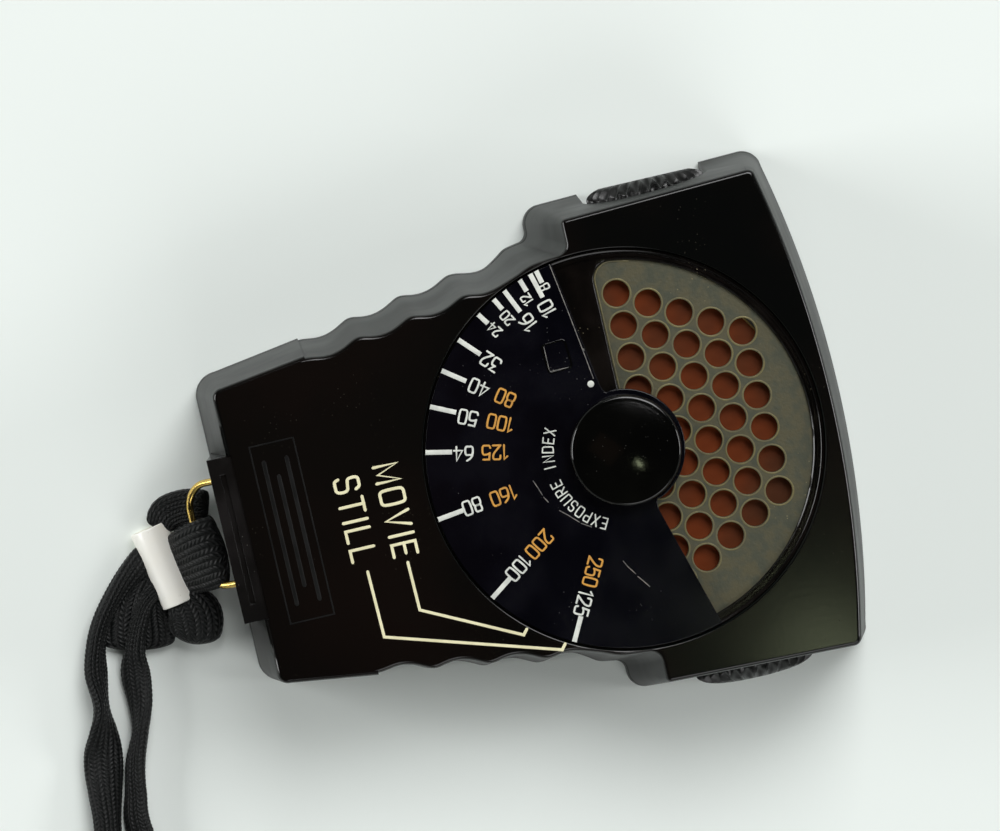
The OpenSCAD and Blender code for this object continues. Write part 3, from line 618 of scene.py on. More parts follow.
def make_grain_group() -> bpy.types.NodeTree:
    """Clouds two tones together and swings the roughness with them, over a fine even grain."""
    t, i, out = new_group("clouded_grain", {
        "Vector": None, "Tone": (0, 0, 0, 1), "Second Tone": (0, 0, 0, 1), "Roughness": 0.4,
        "Spread": 0.1, "Cloud Scale": 100.0, "Grain Scale": 2000.0})
    cloud = t.add("ShaderNodeTexNoise", {"Vector": i["Vector"], "Scale": i["Cloud Scale"], "Detail": 4.0})
    share = t.step(cloud.outputs[0], 0.35, 0.68)
    grain = t.add("ShaderNodeTexNoise", {"Vector": i["Vector"], "Scale": i["Grain Scale"], "Detail": 2.0})
    swing = t.sum("MULTIPLY", t.sum("SUBTRACT", share, 0.5), i["Spread"])
    t.put(out, {"Colour": t.blend(share, i["Tone"], i["Second Tone"]), "Height": grain.outputs[0],
                "Roughness": t.sum("ADD", i["Roughness"], swing, clamp=True)})
    return t.tree


def make_dust_group() -> bpy.types.NodeTree:
    """Lays specks of dust and hair-thin scratches over a finish."""
    t, i, out = new_group("dust_and_scratches", {
        "Vector": None, "Colour": (0, 0, 0, 1), "Dust Tone": (0.5, 0.5, 0.45, 1), "Dust": 0.2,
        "Scratches": 0.2, "Roughness": 0.4, "Height": 0.5})
    cells = t.add("ShaderNodeTexVoronoi", {"Vector": i["Vector"], "Scale": 1500.0, "Randomness": 1.0})
    patch = t.add("ShaderNodeTexNoise", {"Vector": i["Vector"], "Scale": 120.0, "Detail": 3.0})
    speck = t.sum("MULTIPLY", t.step(cells.outputs["Distance"], 0.13, 0.06),
                  t.step(patch.outputs[0], 0.52, 0.66))
    scratch: bpy.types.NodeSocket | float = 0.0
    for turn in (0.5, 2.1, 4.0):
        turned = t.add("ShaderNodeMapping", {"Vector": i["Vector"], "Rotation": (0.1, 0.2, turn),
                                             "Scale": (45.0, 2600.0, 45.0)})
        hair = t.add("ShaderNodeTexNoise", {"Vector": turned.outputs[0], "Scale": 1.0, "Detail": 0.0})
        scratch = t.sum("ADD", scratch, t.step(hair.outputs[0], 0.77, 0.82))
    dust = t.sum("MULTIPLY", speck, i["Dust"], clamp=True)
    marks = t.sum("MULTIPLY", scratch, i["Scratches"], clamp=True)
    share = t.sum("MAXIMUM", dust, marks)
    rough = t.sum("ADD", i["Roughness"], t.sum("MULTIPLY", share, 0.4), clamp=True)
    t.put(out, {"Colour": t.blend(share, i["Colour"], i["Dust Tone"]), "Roughness": rough,
                "Height": t.sum("SUBTRACT", i["Height"], marks)})
    return t.tree


def make_braid_group() -> bpy.types.NodeTree:
    """A braid read from UVs, where u counts stitches and v counts columns of slanting stitches.

    A column is high at its middle, and a stitch is a wave along u that leans one way in even columns and the
    other way in odd ones, so that pairs of columns make a herringbone. The high stitch tops take the lighter
    second tone, partly wear and partly a painted highlight.
    """
    t, i, out = new_group("herringbone_braid", {
        "Vector": None, "Tone": (0, 0, 0, 1), "Worn And Highlit Tone": (0.1, 0.1, 0.1, 1), "Roughness": 0.7})
    uv = t.add("ShaderNodeSeparateXYZ", {0: i["Vector"]})
    lean = t.sum("PINGPONG", uv.outputs[1], 1.0)
    wave = t.sum("SINE", t.sum("MULTIPLY", t.sum("ADD", uv.outputs[0], lean), 2 * math.pi))
    column = t.sum("SINE", t.sum("MULTIPLY", t.sum("FRACT", uv.outputs[1]), math.pi))
    stitch = t.sum("ADD", t.sum("MULTIPLY", wave, 0.25), 0.75)
    height = t.sum("MULTIPLY", t.sum("POWER", column, 0.6), stitch)
    yarn = t.add("ShaderNodeTexNoise", {"Vector": i["Vector"], "Scale": 9.0, "Detail": 3.0}).outputs[0]
    # Stitch tops take the lighter tone: partly wear, partly a painted highlight.
    share = t.sum("MULTIPLY", t.step(height, 0.45, 1.0), t.step(yarn, 0.3, 0.75))
    t.put(out, {"Colour": t.blend(share, i["Tone"], i["Worn And Highlit Tone"]),
                "Roughness": t.sum("SUBTRACT", i["Roughness"], t.sum("MULTIPLY", share, 0.15)),
                "Height": t.sum("ADD", height, t.sum("MULTIPLY", yarn, 0.25))})
    return t.tree


def new_material(name: str) -> tuple[bpy.types.Material, Tree, bpy.types.Node]:
    """A new material, its node tree and its Principled shader."""
    made = bpy.data.materials.new(name)
    made.use_nodes = True
    return made, Tree(made.node_tree), made.node_tree.nodes["Principled BSDF"]


class Effects:
    """The shared node groups, each made when it is first asked for."""

    makers: dict[str, Callable[[], bpy.types.NodeTree]] = {
        "grain": make_grain_group, "dust": make_dust_group, "braid": make_braid_group}
    made: dict[str, bpy.types.NodeTree] = {}

    @classmethod
    def get(cls, name: str) -> bpy.types.NodeTree:
        """The group of that name.

        Args:
            name: one of the names in makers.

        Returns:
            The node group.
        """
        if name not in cls.made:
            cls.made[name] = cls.makers[name]()
        return cls.made[name]


# ---- Finishes ----


@dataclass(frozen=True)
class Finish:
    """A surface finish: two tones clouded together, grain, dust and scratches, and its gloss."""

    name: str
    tone: Colour
    second: Colour
    roughness: float
    spread: float = 0.1
    cloud: float = 120.0
    grain: float = 2500.0
    relief: float = 0.01
    metal: float = 0.0
    coat: float = 0.0
    dust: float = 0.0
    scratches: float = 0.0
    dust_tone: Colour = (0.35, 0.35, 0.3)
    gloss: float = 0.5

    def material(self) -> bpy.types.Material:
        """The finish as a material, made once."""
        name = "finish_" + self.name
        found = bpy.data.materials.get(name)
        if found:
            return found
        made, t, shader = new_material(name)
        self.fill(t, shader)
        return made

    def fill(self, t: Tree, shader: bpy.types.Node) -> None:
        """Makes the clouded grain, the dust where there is any, and the shader's own values.

        Args:
            t: the material's tree.
            shader: its Principled shader.
        """
        place = t.add("ShaderNodeTexCoord").outputs["Object"]
        last = t.add("ShaderNodeGroup", {
            "Vector": place, "Tone": (*self.tone, 1), "Second Tone": (*self.second, 1),
            "Spread": self.spread, "Roughness": self.roughness, "Cloud Scale": self.cloud,
            "Grain Scale": self.grain}, node_tree=Effects.get("grain"))
        if self.dust or self.scratches:
            below = {key: last.outputs[key] for key in ("Colour", "Roughness", "Height")}
            last = t.add("ShaderNodeGroup", {
                "Vector": place, "Dust Tone": (*self.dust_tone, 1), "Dust": self.dust,
                "Scratches": self.scratches, **below}, node_tree=Effects.get("dust"))
        self.connect(t, shader, last)
        t.put(shader, {"Metallic": self.metal, "Coat Weight": self.coat, "Coat Roughness": 0.08})

    def connect(self, t: Tree, shader: bpy.types.Node, last: bpy.types.Node) -> None:
        """Joins the last group's outputs to the shader, the height through a bump.

        Args:
            t: the material's tree.
            shader: its Principled shader.
            last: the group node whose outputs are used.
        """
        bump = t.add("ShaderNodeBump", {"Height": last.outputs["Height"], "Strength": 1.0,
                                        "Distance": self.relief * MM})
        t.put(shader, {"Base Color": last.outputs["Colour"], "Roughness": last.outputs["Roughness"],
                       "Normal": bump.outputs[0], "Specular IOR Level": self.gloss})


@dataclass(frozen=True)
class BraidFinish(Finish):
    """The strap's braid, which follows the piece's own UV map."""

    def fill(self, t: Tree, shader: bpy.types.Node) -> None:
        """Makes the braid and its faint sheen.

        Args:
            t: the material's tree.
            shader: its Principled shader.
        """
        braid = t.add("ShaderNodeGroup", {
            "Vector": t.add("ShaderNodeTexCoord").outputs["UV"], "Tone": (*self.tone, 1),
            "Worn And Highlit Tone": (*self.second, 1), "Roughness": self.roughness}, node_tree=Effects.get("braid"))
        self.connect(t, shader, braid)
        t.put(shader, {"Sheen Weight": 0.03})


@dataclass(frozen=True)
class GlassFinish(Finish):
    """Clear moulded window plastic."""

    def fill(self, t: Tree, shader: bpy.types.Node) -> None:
        """Makes the finish and lets light through it."""
        super().fill(t, shader)
        t.put(shader, {"Transmission Weight": 1.0, "IOR": 1.49})


# After a name: first tone, second tone, roughness, its spread, cloud scale, grain scale, relief in mm.
BROWN_DUST: Colour = (0.08, 0.07, 0.05)
GREY_DUST: Colour = (0.10, 0.10, 0.09)
CASE = Finish("case_phenolic", (0.0018, 0.0020, 0.0019), (0.0036, 0.0022, 0.0018),
              0.15, 0.05, 38, 1400, 0.002, dust=0.25, dust_tone=BROWN_DUST, gloss=0.42)
# The sides' higher roughness is the mould's satin; their lighter, greener tone is a painted reflection of the
# pale floor.
WALL_PAINTED_REFLECTION = Finish("case_phenolic_side_painted_reflection", (0.004, 0.0055, 0.0045), (0.008, 0.0095, 0.008),
              0.5, 0.12, 60, 1800, 0.006, dust=0.2, dust_tone=BROWN_DUST, gloss=0.22)
PANEL = Finish("panel_moulded", (0.004, 0.004, 0.004), (0.006, 0.006, 0.006),
               0.4, 0.1, 300, 2500, 0.006, gloss=0.2)
LUG = Finish("lug_black", (0.004, 0.004, 0.004), (0.007, 0.006, 0.006),
             0.22, 0.1, 200, 3000, 0.004, dust=0.2)
DIAL = Finish("dial_black", (0.0012, 0.0012, 0.0026), (0.002, 0.002, 0.0042),
              0.16, 0.08, 160, 4000, 0.003, dust=0.5, dust_tone=(0.10, 0.10, 0.10), gloss=0.36)
BEZEL = Finish("bezel_black", (0.0018, 0.0016, 0.0014), (0.004, 0.0025, 0.002),
               0.16, 0.1, 150, 3000, 0.004, dust=0.9, dust_tone=(0.20, 0.17, 0.10), gloss=0.45)
KNOB = Finish("knob_black", (0.0012, 0.0012, 0.0011), (0.002, 0.002, 0.0016),
              0.10, 0.05, 90, 2500, 0.003, dust=0.35, dust_tone=GREY_DUST)
GRIP_KNOB = Finish("end_knob_black", (0.004, 0.004, 0.004), (0.008, 0.008, 0.008),
                   0.32, 0.15, 300, 3000, 0.01, dust=0.4, dust_tone=GREY_DUST)
BAFFLE = Finish("baffle_grey_green", (0.080, 0.073, 0.040), (0.048, 0.052, 0.032),
                0.5, 0.15, 620, 2600, 0.03, metal=0.2, dust=0.9, dust_tone=(0.28, 0.24, 0.13))
# Olive of the worn hole rims; on the opening's lip the same tone is a painted highlight.
RIM = Finish("hole_rim_olive", (0.19, 0.165, 0.075), (0.11, 0.10, 0.055),
             0.45, 0.2, 500, 2500, 0.01, metal=0.35)
CELL = Finish("cell_selenium", (0.165, 0.034, 0.0085), (0.080, 0.026, 0.010),
              0.45, 0.1, 70, 1500, 0.01, gloss=0.1)
CREAM = Finish("legend_cream", (0.80, 0.76, 0.50), (0.70, 0.66, 0.42), 0.6, 0.1, 500, 3000, 0.01)
WHITE = Finish("number_white", (0.70, 0.72, 0.66), (0.55, 0.57, 0.53), 0.6, 0.1, 700, 3000, 0.01)
ORANGE = Finish("number_orange", (0.62, 0.30, 0.045), (0.50, 0.24, 0.04), 0.6, 0.1, 700, 3000, 0.01)
# Grey of the dial's scuff marks, also used for painted highlights along two of its edges.
SCUFF_AND_HIGHLIGHT = Finish("scuff_and_highlight_grey", (0.20, 0.19, 0.17), (0.08, 0.08, 0.08), 0.6, 0.1, 1500, 3000, 0.01)
BRASS = Finish("ring_brass", (0.78, 0.55, 0.16), (0.62, 0.42, 0.12),
               0.22, 0.15, 400, 2500, 0.006, metal=1, scratches=0.1, dust_tone=(0.3, 0.22, 0.1))
# Near-white base with full gloss: a painted reflection standing in for the plating's shine.
CLIP_PAINTED_REFLECTION = Finish("clip_plated_painted_reflection", (1.0, 0.99, 0.93), (0.98, 0.95, 0.84),
              0.35, 0.1, 90, 1800, 0.008, gloss=1.0, dust=0.3, dust_tone=(0.35, 0.28, 0.16))
# The lighter second tone on the stitch tops is partly wear and partly a painted highlight.
BRAID = BraidFinish("braid_black", (0.0006, 0.0009, 0.0010), (0.008, 0.011, 0.010),
                    0.42, relief=0.12, gloss=0.25)
STEEL = Finish("steel_turned", (0.55, 0.54, 0.50), (0.42, 0.41, 0.38),
               0.3, 0.15, 300, 2500, 0.006, metal=1, scratches=0.15, dust_tone=(0.2, 0.19, 0.17))
WORKS_BRASS = Finish("movement_brass", (0.66, 0.47, 0.18), (0.55, 0.40, 0.17),
                     0.35, 0.15, 250, 2500, 0.006, metal=1)
ALLOY = Finish("magnet_alloy", (0.20, 0.20, 0.21), (0.13, 0.13, 0.14),
               0.5, 0.2, 250, 1500, 0.03, metal=0.8)
ENAMEL = Finish("scale_enamel", (0.74, 0.72, 0.64), (0.68, 0.66, 0.57),
                0.4, 0.1, 200, 3000, 0.004, dust=0.2)
INK = Finish("scale_ink", (0.01, 0.01, 0.012), (0.02, 0.02, 0.022), 0.5, 0.1, 500, 3000, 0.004)
FELT = Finish("gasket_felt", (0.02, 0.02, 0.02), (0.035, 0.033, 0.03), 0.9, 0.05, 900, 4500, 0.06)
HOLDER = Finish("holder_phenolic", (0.06, 0.025, 0.012), (0.04, 0.018, 0.01), 0.35, 0.1, 200, 2200, 0.006)
BOARD = Finish("paper_board", (0.22, 0.11, 0.04), (0.16, 0.08, 0.03), 0.5, 0.1, 300, 3000, 0.01)
LEAD = Finish("lead_red", (0.40, 0.02, 0.015), (0.3, 0.015, 0.012), 0.4, 0.1, 300, 2500, 0.006)
JEWEL = Finish("jewel_red", (0.5, 0.01, 0.03), (0.4, 0.01, 0.02), 0.08, 0.02, 300, 2500, 0.002, coat=0.5)
COPPER = Finish("coil_copper", (0.60, 0.24, 0.10), (0.45, 0.16, 0.07),
                0.35, 0.1, 500, 5000, 0.03, metal=0.8)
POINTER = Finish("needle_red", (0.5, 0.02, 0.015), (0.42, 0.02, 0.015), 0.4, 0.1, 300, 2500, 0.004)
WINDOW = GlassFinish("window_clear", (0.94, 0.95, 0.93), (0.92, 0.93, 0.91), 0.03, 0.02, 100, 800, 0.001)


class Body(Enum):
    """The bodies of the part that a piece can ride on."""

    CASE = "case"
    DIAL = "dial"
    DRUM = "drum"
    STRAP = "ring_and_strap"


def dress(obj: bpy.types.Object, finish: Finish, body: Body,
          nodes: Sequence[str] = ()) -> bpy.types.Object:
    """Gives a piece its finish and its body.

    Args:
        obj: the piece.
        finish: its finish.
        body: the body it rides on.
        nodes: the CAD nodes it stands for.

    Returns:
        The piece.
    """
    obj.data.materials.clear()
    obj.data.materials.append(finish.material())
    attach(obj, body.value)
    if nodes:
        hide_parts(*nodes)
    log.info("%s: %d faces, %s, on %s", obj.name, len(obj.data.polygons), finish.name, body.value)
    return obj


# ---- Studio ----


@dataclass
class Studio:
    """Camera over the cell side, pale floor and soft lights, with a dark space straight above."""

    eye: tuple[float, float, float] = (-31.05, -24.15, 575.0)
    look: tuple[float, float, float] = (0.043, 0.019, -1.0)
    up: tuple[float, float, float] = (-0.974, 0.2267, 0.0)
    lens: float = 165.0
    floor_half: float = 3000.0
    floor_level: float = -0.05
    # name, place, aim, size, watts, colour
    lights: tuple[tuple, ...] = (
        ("key", (-720, 420, 1180), (0, -10, 0), (820, 820), 14.6, (1, 1, 1)),
        ("head_side", (150, 1150, 620), (0, 0, 0), (500, 300), 4.5, (1, 1, 1)),
        ("tail_side", (-350, -1100, 560), (0, -20, 0), (700, 500), 7.5, (1, 1, 1)),
        ("knob_side", (950, 250, 900), (0, 0, 0), (900, 700), 4.0, (1, 1, 1)),
        ("below", (0, -10, -1600), (0, -10, 0), (1500, 1500), 28.0, (1, 1, 1)),
        ("olive_patch", (99, 66, 590), (32, 21, 25), (14, 36), 0.012, (0.8, 0.9, 0.55)),
        ("brown_patch", (4, -58, 590), (-12, -38, 25), (120, 90), 0.0018, (1.0, 0.55, 0.35)))

    def camera(self) -> None:
        """Sets the camera by its place, its line of sight and the picture's upward direction."""
        data = bpy.data.cameras.new("camera")
        data.lens, data.sensor_width = self.lens, 36.0
        obj = bpy.data.objects.new("camera", data)
        back = -Vector(self.look).normalized()
        right = Vector(self.up).cross(back).normalized()
        turned = Matrix((right, back.cross(right), back)).transposed().to_4x4()
        obj.matrix_world = Matrix.Translation(Vector(self.eye) * MM) @ turned
        bpy.context.scene.collection.objects.link(obj)
        bpy.context.scene.camera = obj

    def area(self, name: str, at: Sequence[float], to: Sequence[float], size: tuple[float, float],
             watts: float, tone: Colour) -> None:
        """Adds a soft rectangular light, placed and aimed in mm.

        Args:
            name: name of the light.
            at: its place.
            to: the point it faces.
            size: its two sides.
            watts: its power.
            tone: its colour.
        """
        data = bpy.data.lights.new(name, "AREA")
        data.shape, data.size, data.size_y = "RECTANGLE", size[0] * MM, size[1] * MM
        data.energy, data.color = watts, tone
        obj = bpy.data.objects.new(name, data)
        obj.location = Vector(at) * MM
        obj.rotation_mode = "QUATERNION"
        obj.rotation_quaternion = (Vector(to) - Vector(at)).to_track_quat("-Z", "Y")
        bpy.context.scene.collection.objects.link(obj)

    def floor(self) -> None:
        """A pale floor just under the part, clear to an eye and to a light below it."""
        h, z = self.floor_half, self.floor_level
        obj = Shell(np.array([[-h, -h, z], [h, -h, z], [h, h, z], [-h, h, z]]), [(0, 1, 2, 3)]).piece(
            "floor", weld=False)
        made, t, shader = new_material("floor_paper")
        t.put(shader, {"Base Color": (0.83, 0.88, 0.85, 1), "Roughness": 0.9, "Specular IOR Level": 0.1})
        clear = t.add("ShaderNodeBsdfTransparent")
        shadow = t.add("ShaderNodeLightPath").outputs["Is Shadow Ray"]
        under = t.sum("MAXIMUM", t.add("ShaderNodeNewGeometry").outputs["Backfacing"], shadow)
        mix = t.add("ShaderNodeMixShader", {0: under, 1: shader.outputs[0], 2: clear.outputs[0]})
        t.tree.links.new(mix.outputs[0], made.node_tree.nodes["Material Output"].inputs[0])
        obj.data.materials.append(made)

    def surround(self) -> None:
        """A world that lights palely from the horizon only, and that the camera sees as pale."""
        world = bpy.data.worlds.new("surround")
        world.use_nodes = True
        t = Tree(world.node_tree)
        way = t.add("ShaderNodeSeparateXYZ", {0: t.add("ShaderNodeTexCoord").outputs["Generated"]})
        high = t.step(way.outputs[2], 0.05, 0.75)
        tone = t.blend(high, (0.36, 0.385, 0.36, 1), (0.003, 0.003, 0.0025, 1))
        tone = t.blend(t.step(way.outputs[2], -0.06, 0.0), (0, 0, 0, 1), tone)
        seen = t.add("ShaderNodeLightPath").outputs["Is Camera Ray"]
        t.put(world.node_tree.nodes["Background"], {"Color": t.blend(seen, tone, (0.74, 0.79, 0.75, 1))})
        bpy.context.scene.world = world

    def build(self) -> None:
        """Makes the whole studio."""
        bpy.context.scene.view_settings.view_transform = "Standard"
        self.camera()
        self.floor()
        self.surround()
        for light in self.lights:
            self.area(*light)


# ---- Strap ----


@dataclass
class Strap:
    """Braided wrist strap, its ring, its folded end and the plated clip that holds it."""

    stitch: float = 0.55
    columns: int = 14
    fold_columns: int = 24
    width: float = 4.4
    thickness: float = 1.7
    ring_at: tuple[float, float, float] = (-0.3, -47.8, 9.0)
    ring_tilt: float = 35.0
    ring_half: float = 6.5
    ring_reach: float = 7.0
    ring_corner: float = 3.2
    wire: float = 0.9
    clip_at: tuple[float, float, float] = (2.3, -58.3, 2.2)
    clip_turn: float = 10.7
    clip_size: tuple[float, float, float] = (10.2, 5.0, 4.2)
    relief: float = 1.5
    clip_wall: float = 0.5
    # x, y, height of the middle, width, thickness, roll in degrees
    leaving: tuple[tuple[float, ...], ...] = (
        (0.6, -57.6, 2.0, 4.0, 1.8, 0), (0.9, -60.0, 1.9, 4.2, 1.9, 0), (2.6, -62.9, 1.7, 3.4, 2.2, 20),
        (5.0, -65.6, 1.7, 2.8, 2.2, 35), (7.6, -67.7, 1.8, 2.8, 2.0, 45), (10.4, -69.1, 1.9, 3.0, 1.9, 52),
        (13.6, -69.8, 2.0, 3.9, 1.8, 56), (17.6, -70.1, 2.1, 4.2, 1.7, 80), (20.7, -70.6, 1.9, 4.5, 1.7, 50),
        (24.6, -71.5, 1.4, 5.0, 1.7, 8), (28.6, -72.2, 1.5, 4.6, 1.7, 30))
    # x, y, height of the middle and roll, where the strap has its plain width and thickness
    lying: tuple[tuple[float, ...], ...] = (
        (33.0, -72.9, 1.8, 48), (41, -74.4, 1.5, 25), (50, -76.6, 1.2, 0), (59, -78.2, 1.2, 0),
        (68, -78, 1.2, 0), (76, -75.2, 1.3, -10), (81.5, -69.5, 1.4, -20), (84, -61.5, 1.4, -20),
        (84.2, -52.5, 1.4, -15), (82.6, -43.5, 1.2, 0), (80, -35, 1.2, 0), (76, -27.8, 1.3, 10),
        (70.5, -24, 1.4, 20), (64.8, -25.4, 1.4, 20), (61.8, -30.8, 1.3, 10), (61.8, -38, 1.2, 0),
        (63, -46, 1.2, 0), (62.6, -53.8, 1.2, 0), (59, -60.4, 1.2, 0), (52, -65, 1.3, 10),
        (43, -67.8, 1.4, 20), (33.8, -69.1, 1.7, 42))
    returning: tuple[tuple[float, ...], ...] = (
        (29.2, -68.4, 1.8, 4.2, 1.7, 55), (25.6, -67.6, 1.9, 4.2, 1.7, 62), (21.9, -66.1, 2.0, 4.2, 1.7, 72),
        (18.4, -65.3, 1.9, 4.3, 1.8, 50), (14.6, -65.0, 1.8, 4.2, 1.9, 32), (11.8, -64.4, 2.3, 2.7, 2.1, 30),
        (8.8, -63.2, 2.5, 2.3, 2.1, 25), (6.4, -61.8, 2.3, 2.2, 2.0, 15), (4.9, -60.0, 1.9, 2.6, 1.9, 0),
        (4.4, -57.8, 2.0, 3.0, 1.8, 0))

    def route(self, step: float) -> Array:
        """The strap's whole way as rows of place, width, thickness and roll, a step apart.

        Args:
            step: distance between rows in mm.

        Returns:
            The rows.
        """
        lying = [(x, y, z, self.width, self.thickness, roll) for x, y, z, roll in self.lying]
        return even(spline(np.array([*self.leaving, *lying, *self.returning])), step)

    def braid_tube(self, way: Array, sides: int, columns: int, power: float, ends: float) -> Shell:
        """A flat braided tube along a way of (x, y, z, width, thickness, roll) rows.

        A section is the flattened oval (w/2·cᵖ, h/2·sᵖ), c and s being the cosine and sine of
        the angle round it, with its points evenly spaced, and it is rolled about the way. It
        stands out by relief mm over the columns times a column's half wave round the tube times
        a stitch's wave along it, which leans to and fro from column to column. Over the last mm at
        each end the section shrinks as a quarter circle.

        Args:
            way: the rows, an even step apart.
            sides: points in a section.
            columns: columns of stitches round the tube.
            power: 1 for an oval, less for a section with fuller corners.
            ends: length over which an end is rounded.

        Returns:
            A closed surface whose UVs count stitches and columns.
        """
        place, wide, thick, roll = way[:, :3], way[:, 3], way[:, 4], np.radians(way[:, 5])
        t = np.gradient(place, axis=0)
        t /= np.linalg.norm(t, axis=1, keepdims=True)
        side = np.cross(t, [0.0, 0.0, 1.0])
        side /= np.linalg.norm(side, axis=1, keepdims=True)
        rise = np.cross(side, t)
        across = side * np.cos(roll)[:, None] + rise * np.sin(roll)[:, None]
        outward = rise * np.cos(roll)[:, None] - side * np.sin(roll)[:, None]
        s = np.concatenate([[0], np.cumsum(np.linalg.norm(np.diff(place, axis=0), axis=1))])
        edge = np.clip(np.minimum(s, s[-1] - s) / ends, 0.02, 1)
        shrink = np.sqrt(1 - (1 - edge) ** 2)
        turn = np.linspace(0, 2 * np.pi, 2001)
        oval = np.stack([np.cos(turn), np.sin(turn)], 1)
        oval = np.sign(oval) * np.abs(oval) ** power
        gaps = np.linalg.norm(np.diff(oval * [wide.mean(), thick.mean()], axis=0), axis=1)
        round_way = np.concatenate([[0], np.cumsum(gaps)])
        at = np.linspace(0, round_way[-1], sides, endpoint=False)
        c, n = (np.interp(at, round_way, oval[:, k]) for k in (0, 1))
        v = np.arange(sides) / sides * columns
        lean = np.abs((v + 1) % 2 - 1)
        wave = 0.55 + 0.45 * np.sin(2 * np.pi * (s[:, None] / self.stitch + lean[None, :]))
        relief = self.relief / columns * ((np.sin(np.pi * (v % 1)) ** 0.7)[None, :] * wave - 0.5)
        half_w = (wide / 2)[:, None] + relief
        half_h = (thick / 2)[:, None] + relief
        section = across[:, None, :] * (half_w * c)[..., None] + outward[:, None, :] * (half_h * n)[..., None]
        rings = place[:, None, :] + section * shrink[:, None, None]
        rings[..., 2] = np.maximum(rings[..., 2], 0.03)
        step = s[-1] / (len(s) - 1) / self.stitch
        return skin(rings, uv=(step, columns / sides))

    def strands(self) -> bpy.types.Object:
        """Both strands as one loop that leaves the clip, lies on the floor and comes back to it.

        Returns:
            The piece.
        """
        obj = self.braid_tube(self.route(0.18), 70, self.columns, 0.85, 0.6).piece("strap_strands")
        return dress(obj, BRAID, Body.STRAP, ["strap_cord"])

    def tube(self, name: str, rows: Sequence[Sequence[float]], power: float = 0.8,
             ends: float = 1.2, nodes: Sequence[str] = ()) -> bpy.types.Object:
        """A short fold of braid along a few rows of x, y, z, width, thickness and roll.

        Args:
            name: name of the piece.
            rows: the rows.
            power: 1 for an oval, less for fuller corners.
            ends: length over which an end is rounded.
            nodes: the CAD nodes it stands for.

        Returns:
            The piece.
        """
        way = even(spline(np.array(rows, float)), 0.13)
        obj = self.braid_tube(way, 144, self.fold_columns, power, ends).piece(name)
        return dress(obj, BRAID, Body.STRAP, nodes)

    def ring(self) -> bpy.types.Object:
        """The brass ring: a round wire carried round a loop with two rounded corners.

        A ring of wire points is the loop's point + r·(cos a·sideways + sin a·plane normal).

        Returns:
            The piece.
        """
        w, k, reach = self.ring_half, self.ring_corner, self.ring_reach
        loop = np.vstack([
            arc((w - 0.5, 0.5), 0.5, -90, 0, 8), arc((w - k, reach - k), k, 0, 90, 24),
            arc((k - w, reach - k), k, 90, 180, 24), arc((0.5 - w, 0.5), 0.5, 180, 270, 8)])
        step = np.roll(loop, -1, 0) - np.roll(loop, 1, 0)
        side = np.stack([step[:, 1], -step[:, 0]], 1) / np.linalg.norm(step, axis=1, keepdims=True)
        a = np.linspace(0, 2 * np.pi, 20, endpoint=False)
        r = self.wire / 2
        flat = loop[:, None, :] + r * np.cos(a)[None, :, None] * side[:, None, :]
        z = np.broadcast_to(r * np.sin(a), flat.shape[:2])
        turn = np.array(Matrix.Rotation(math.radians(180 + self.ring_tilt), 3, "X"))
        shell = skin(np.concatenate([flat, z[..., None]], -1), ring=True).mapped(
            lambda p: p @ turn.T + self.ring_at)
        return dress(shell.piece("strap_ring_wire"), BRASS, Body.STRAP, ["strap_ring"])

    def clip(self) -> bpy.types.Object:
        """The clip: a folded strip whose section is an arch with rounded shoulders.

        The outer and the inner section are rounded polygons of equal count, carried along the
        clip, a little wider at the open mouth, and joined at both ends.

        Returns:
            The piece.
        """
        length, wide, high = self.clip_size
        w, h = wide / 2, high / 2

        def section(wall: float) -> Array:
            """The arch, a polygon with its corners cut, so many mm inside the outer one.

            Args:
                wall: mm inside the outer face.

            Returns:
                (n, 2) points.
            """
            a, b = w - wall, h - wall
            line = np.array([[0, -b], [-a * 0.95, -b], [-a, -b * 0.2], [-a * 0.92, b * 0.35], [-a * 0.5, b],
                             [a * 0.15, b], [a * 0.93, b * 0.35], [a, -b * 0.2], [a * 0.95, -b], [0, -b]])
            return cut_corners(line)[:-1]

        outer, inner = section(0.0), section(self.clip_wall)
        s = np.array([-1, -0.985, -0.96, -0.5, 0, 0.5, 0.96, 0.985, 1]) * length / 2
        lip = np.array([0.93, 0.98, 1, 1, 1, 1.0, 1.02, 1.01, 0.96])
        outside = np.stack([np.column_stack([np.full(len(outer), x), outer * k]) for x, k in zip(s, lip)])
        inside = np.stack([np.column_stack([np.full(len(inner), x), inner]) for x in s[::-1]])
        turn = np.array(Matrix.Rotation(math.radians(self.clip_turn), 3, "Z"))
        shell = skin(np.concatenate([outside, inside]), ring=True).mapped(
            lambda p: p @ turn.T + self.clip_at)
        obj = shell.piece("strap_clip_shell", crease=50)
        return dress(obj, CLIP_PAINTED_REFLECTION, Body.STRAP, ["strap_clip"])

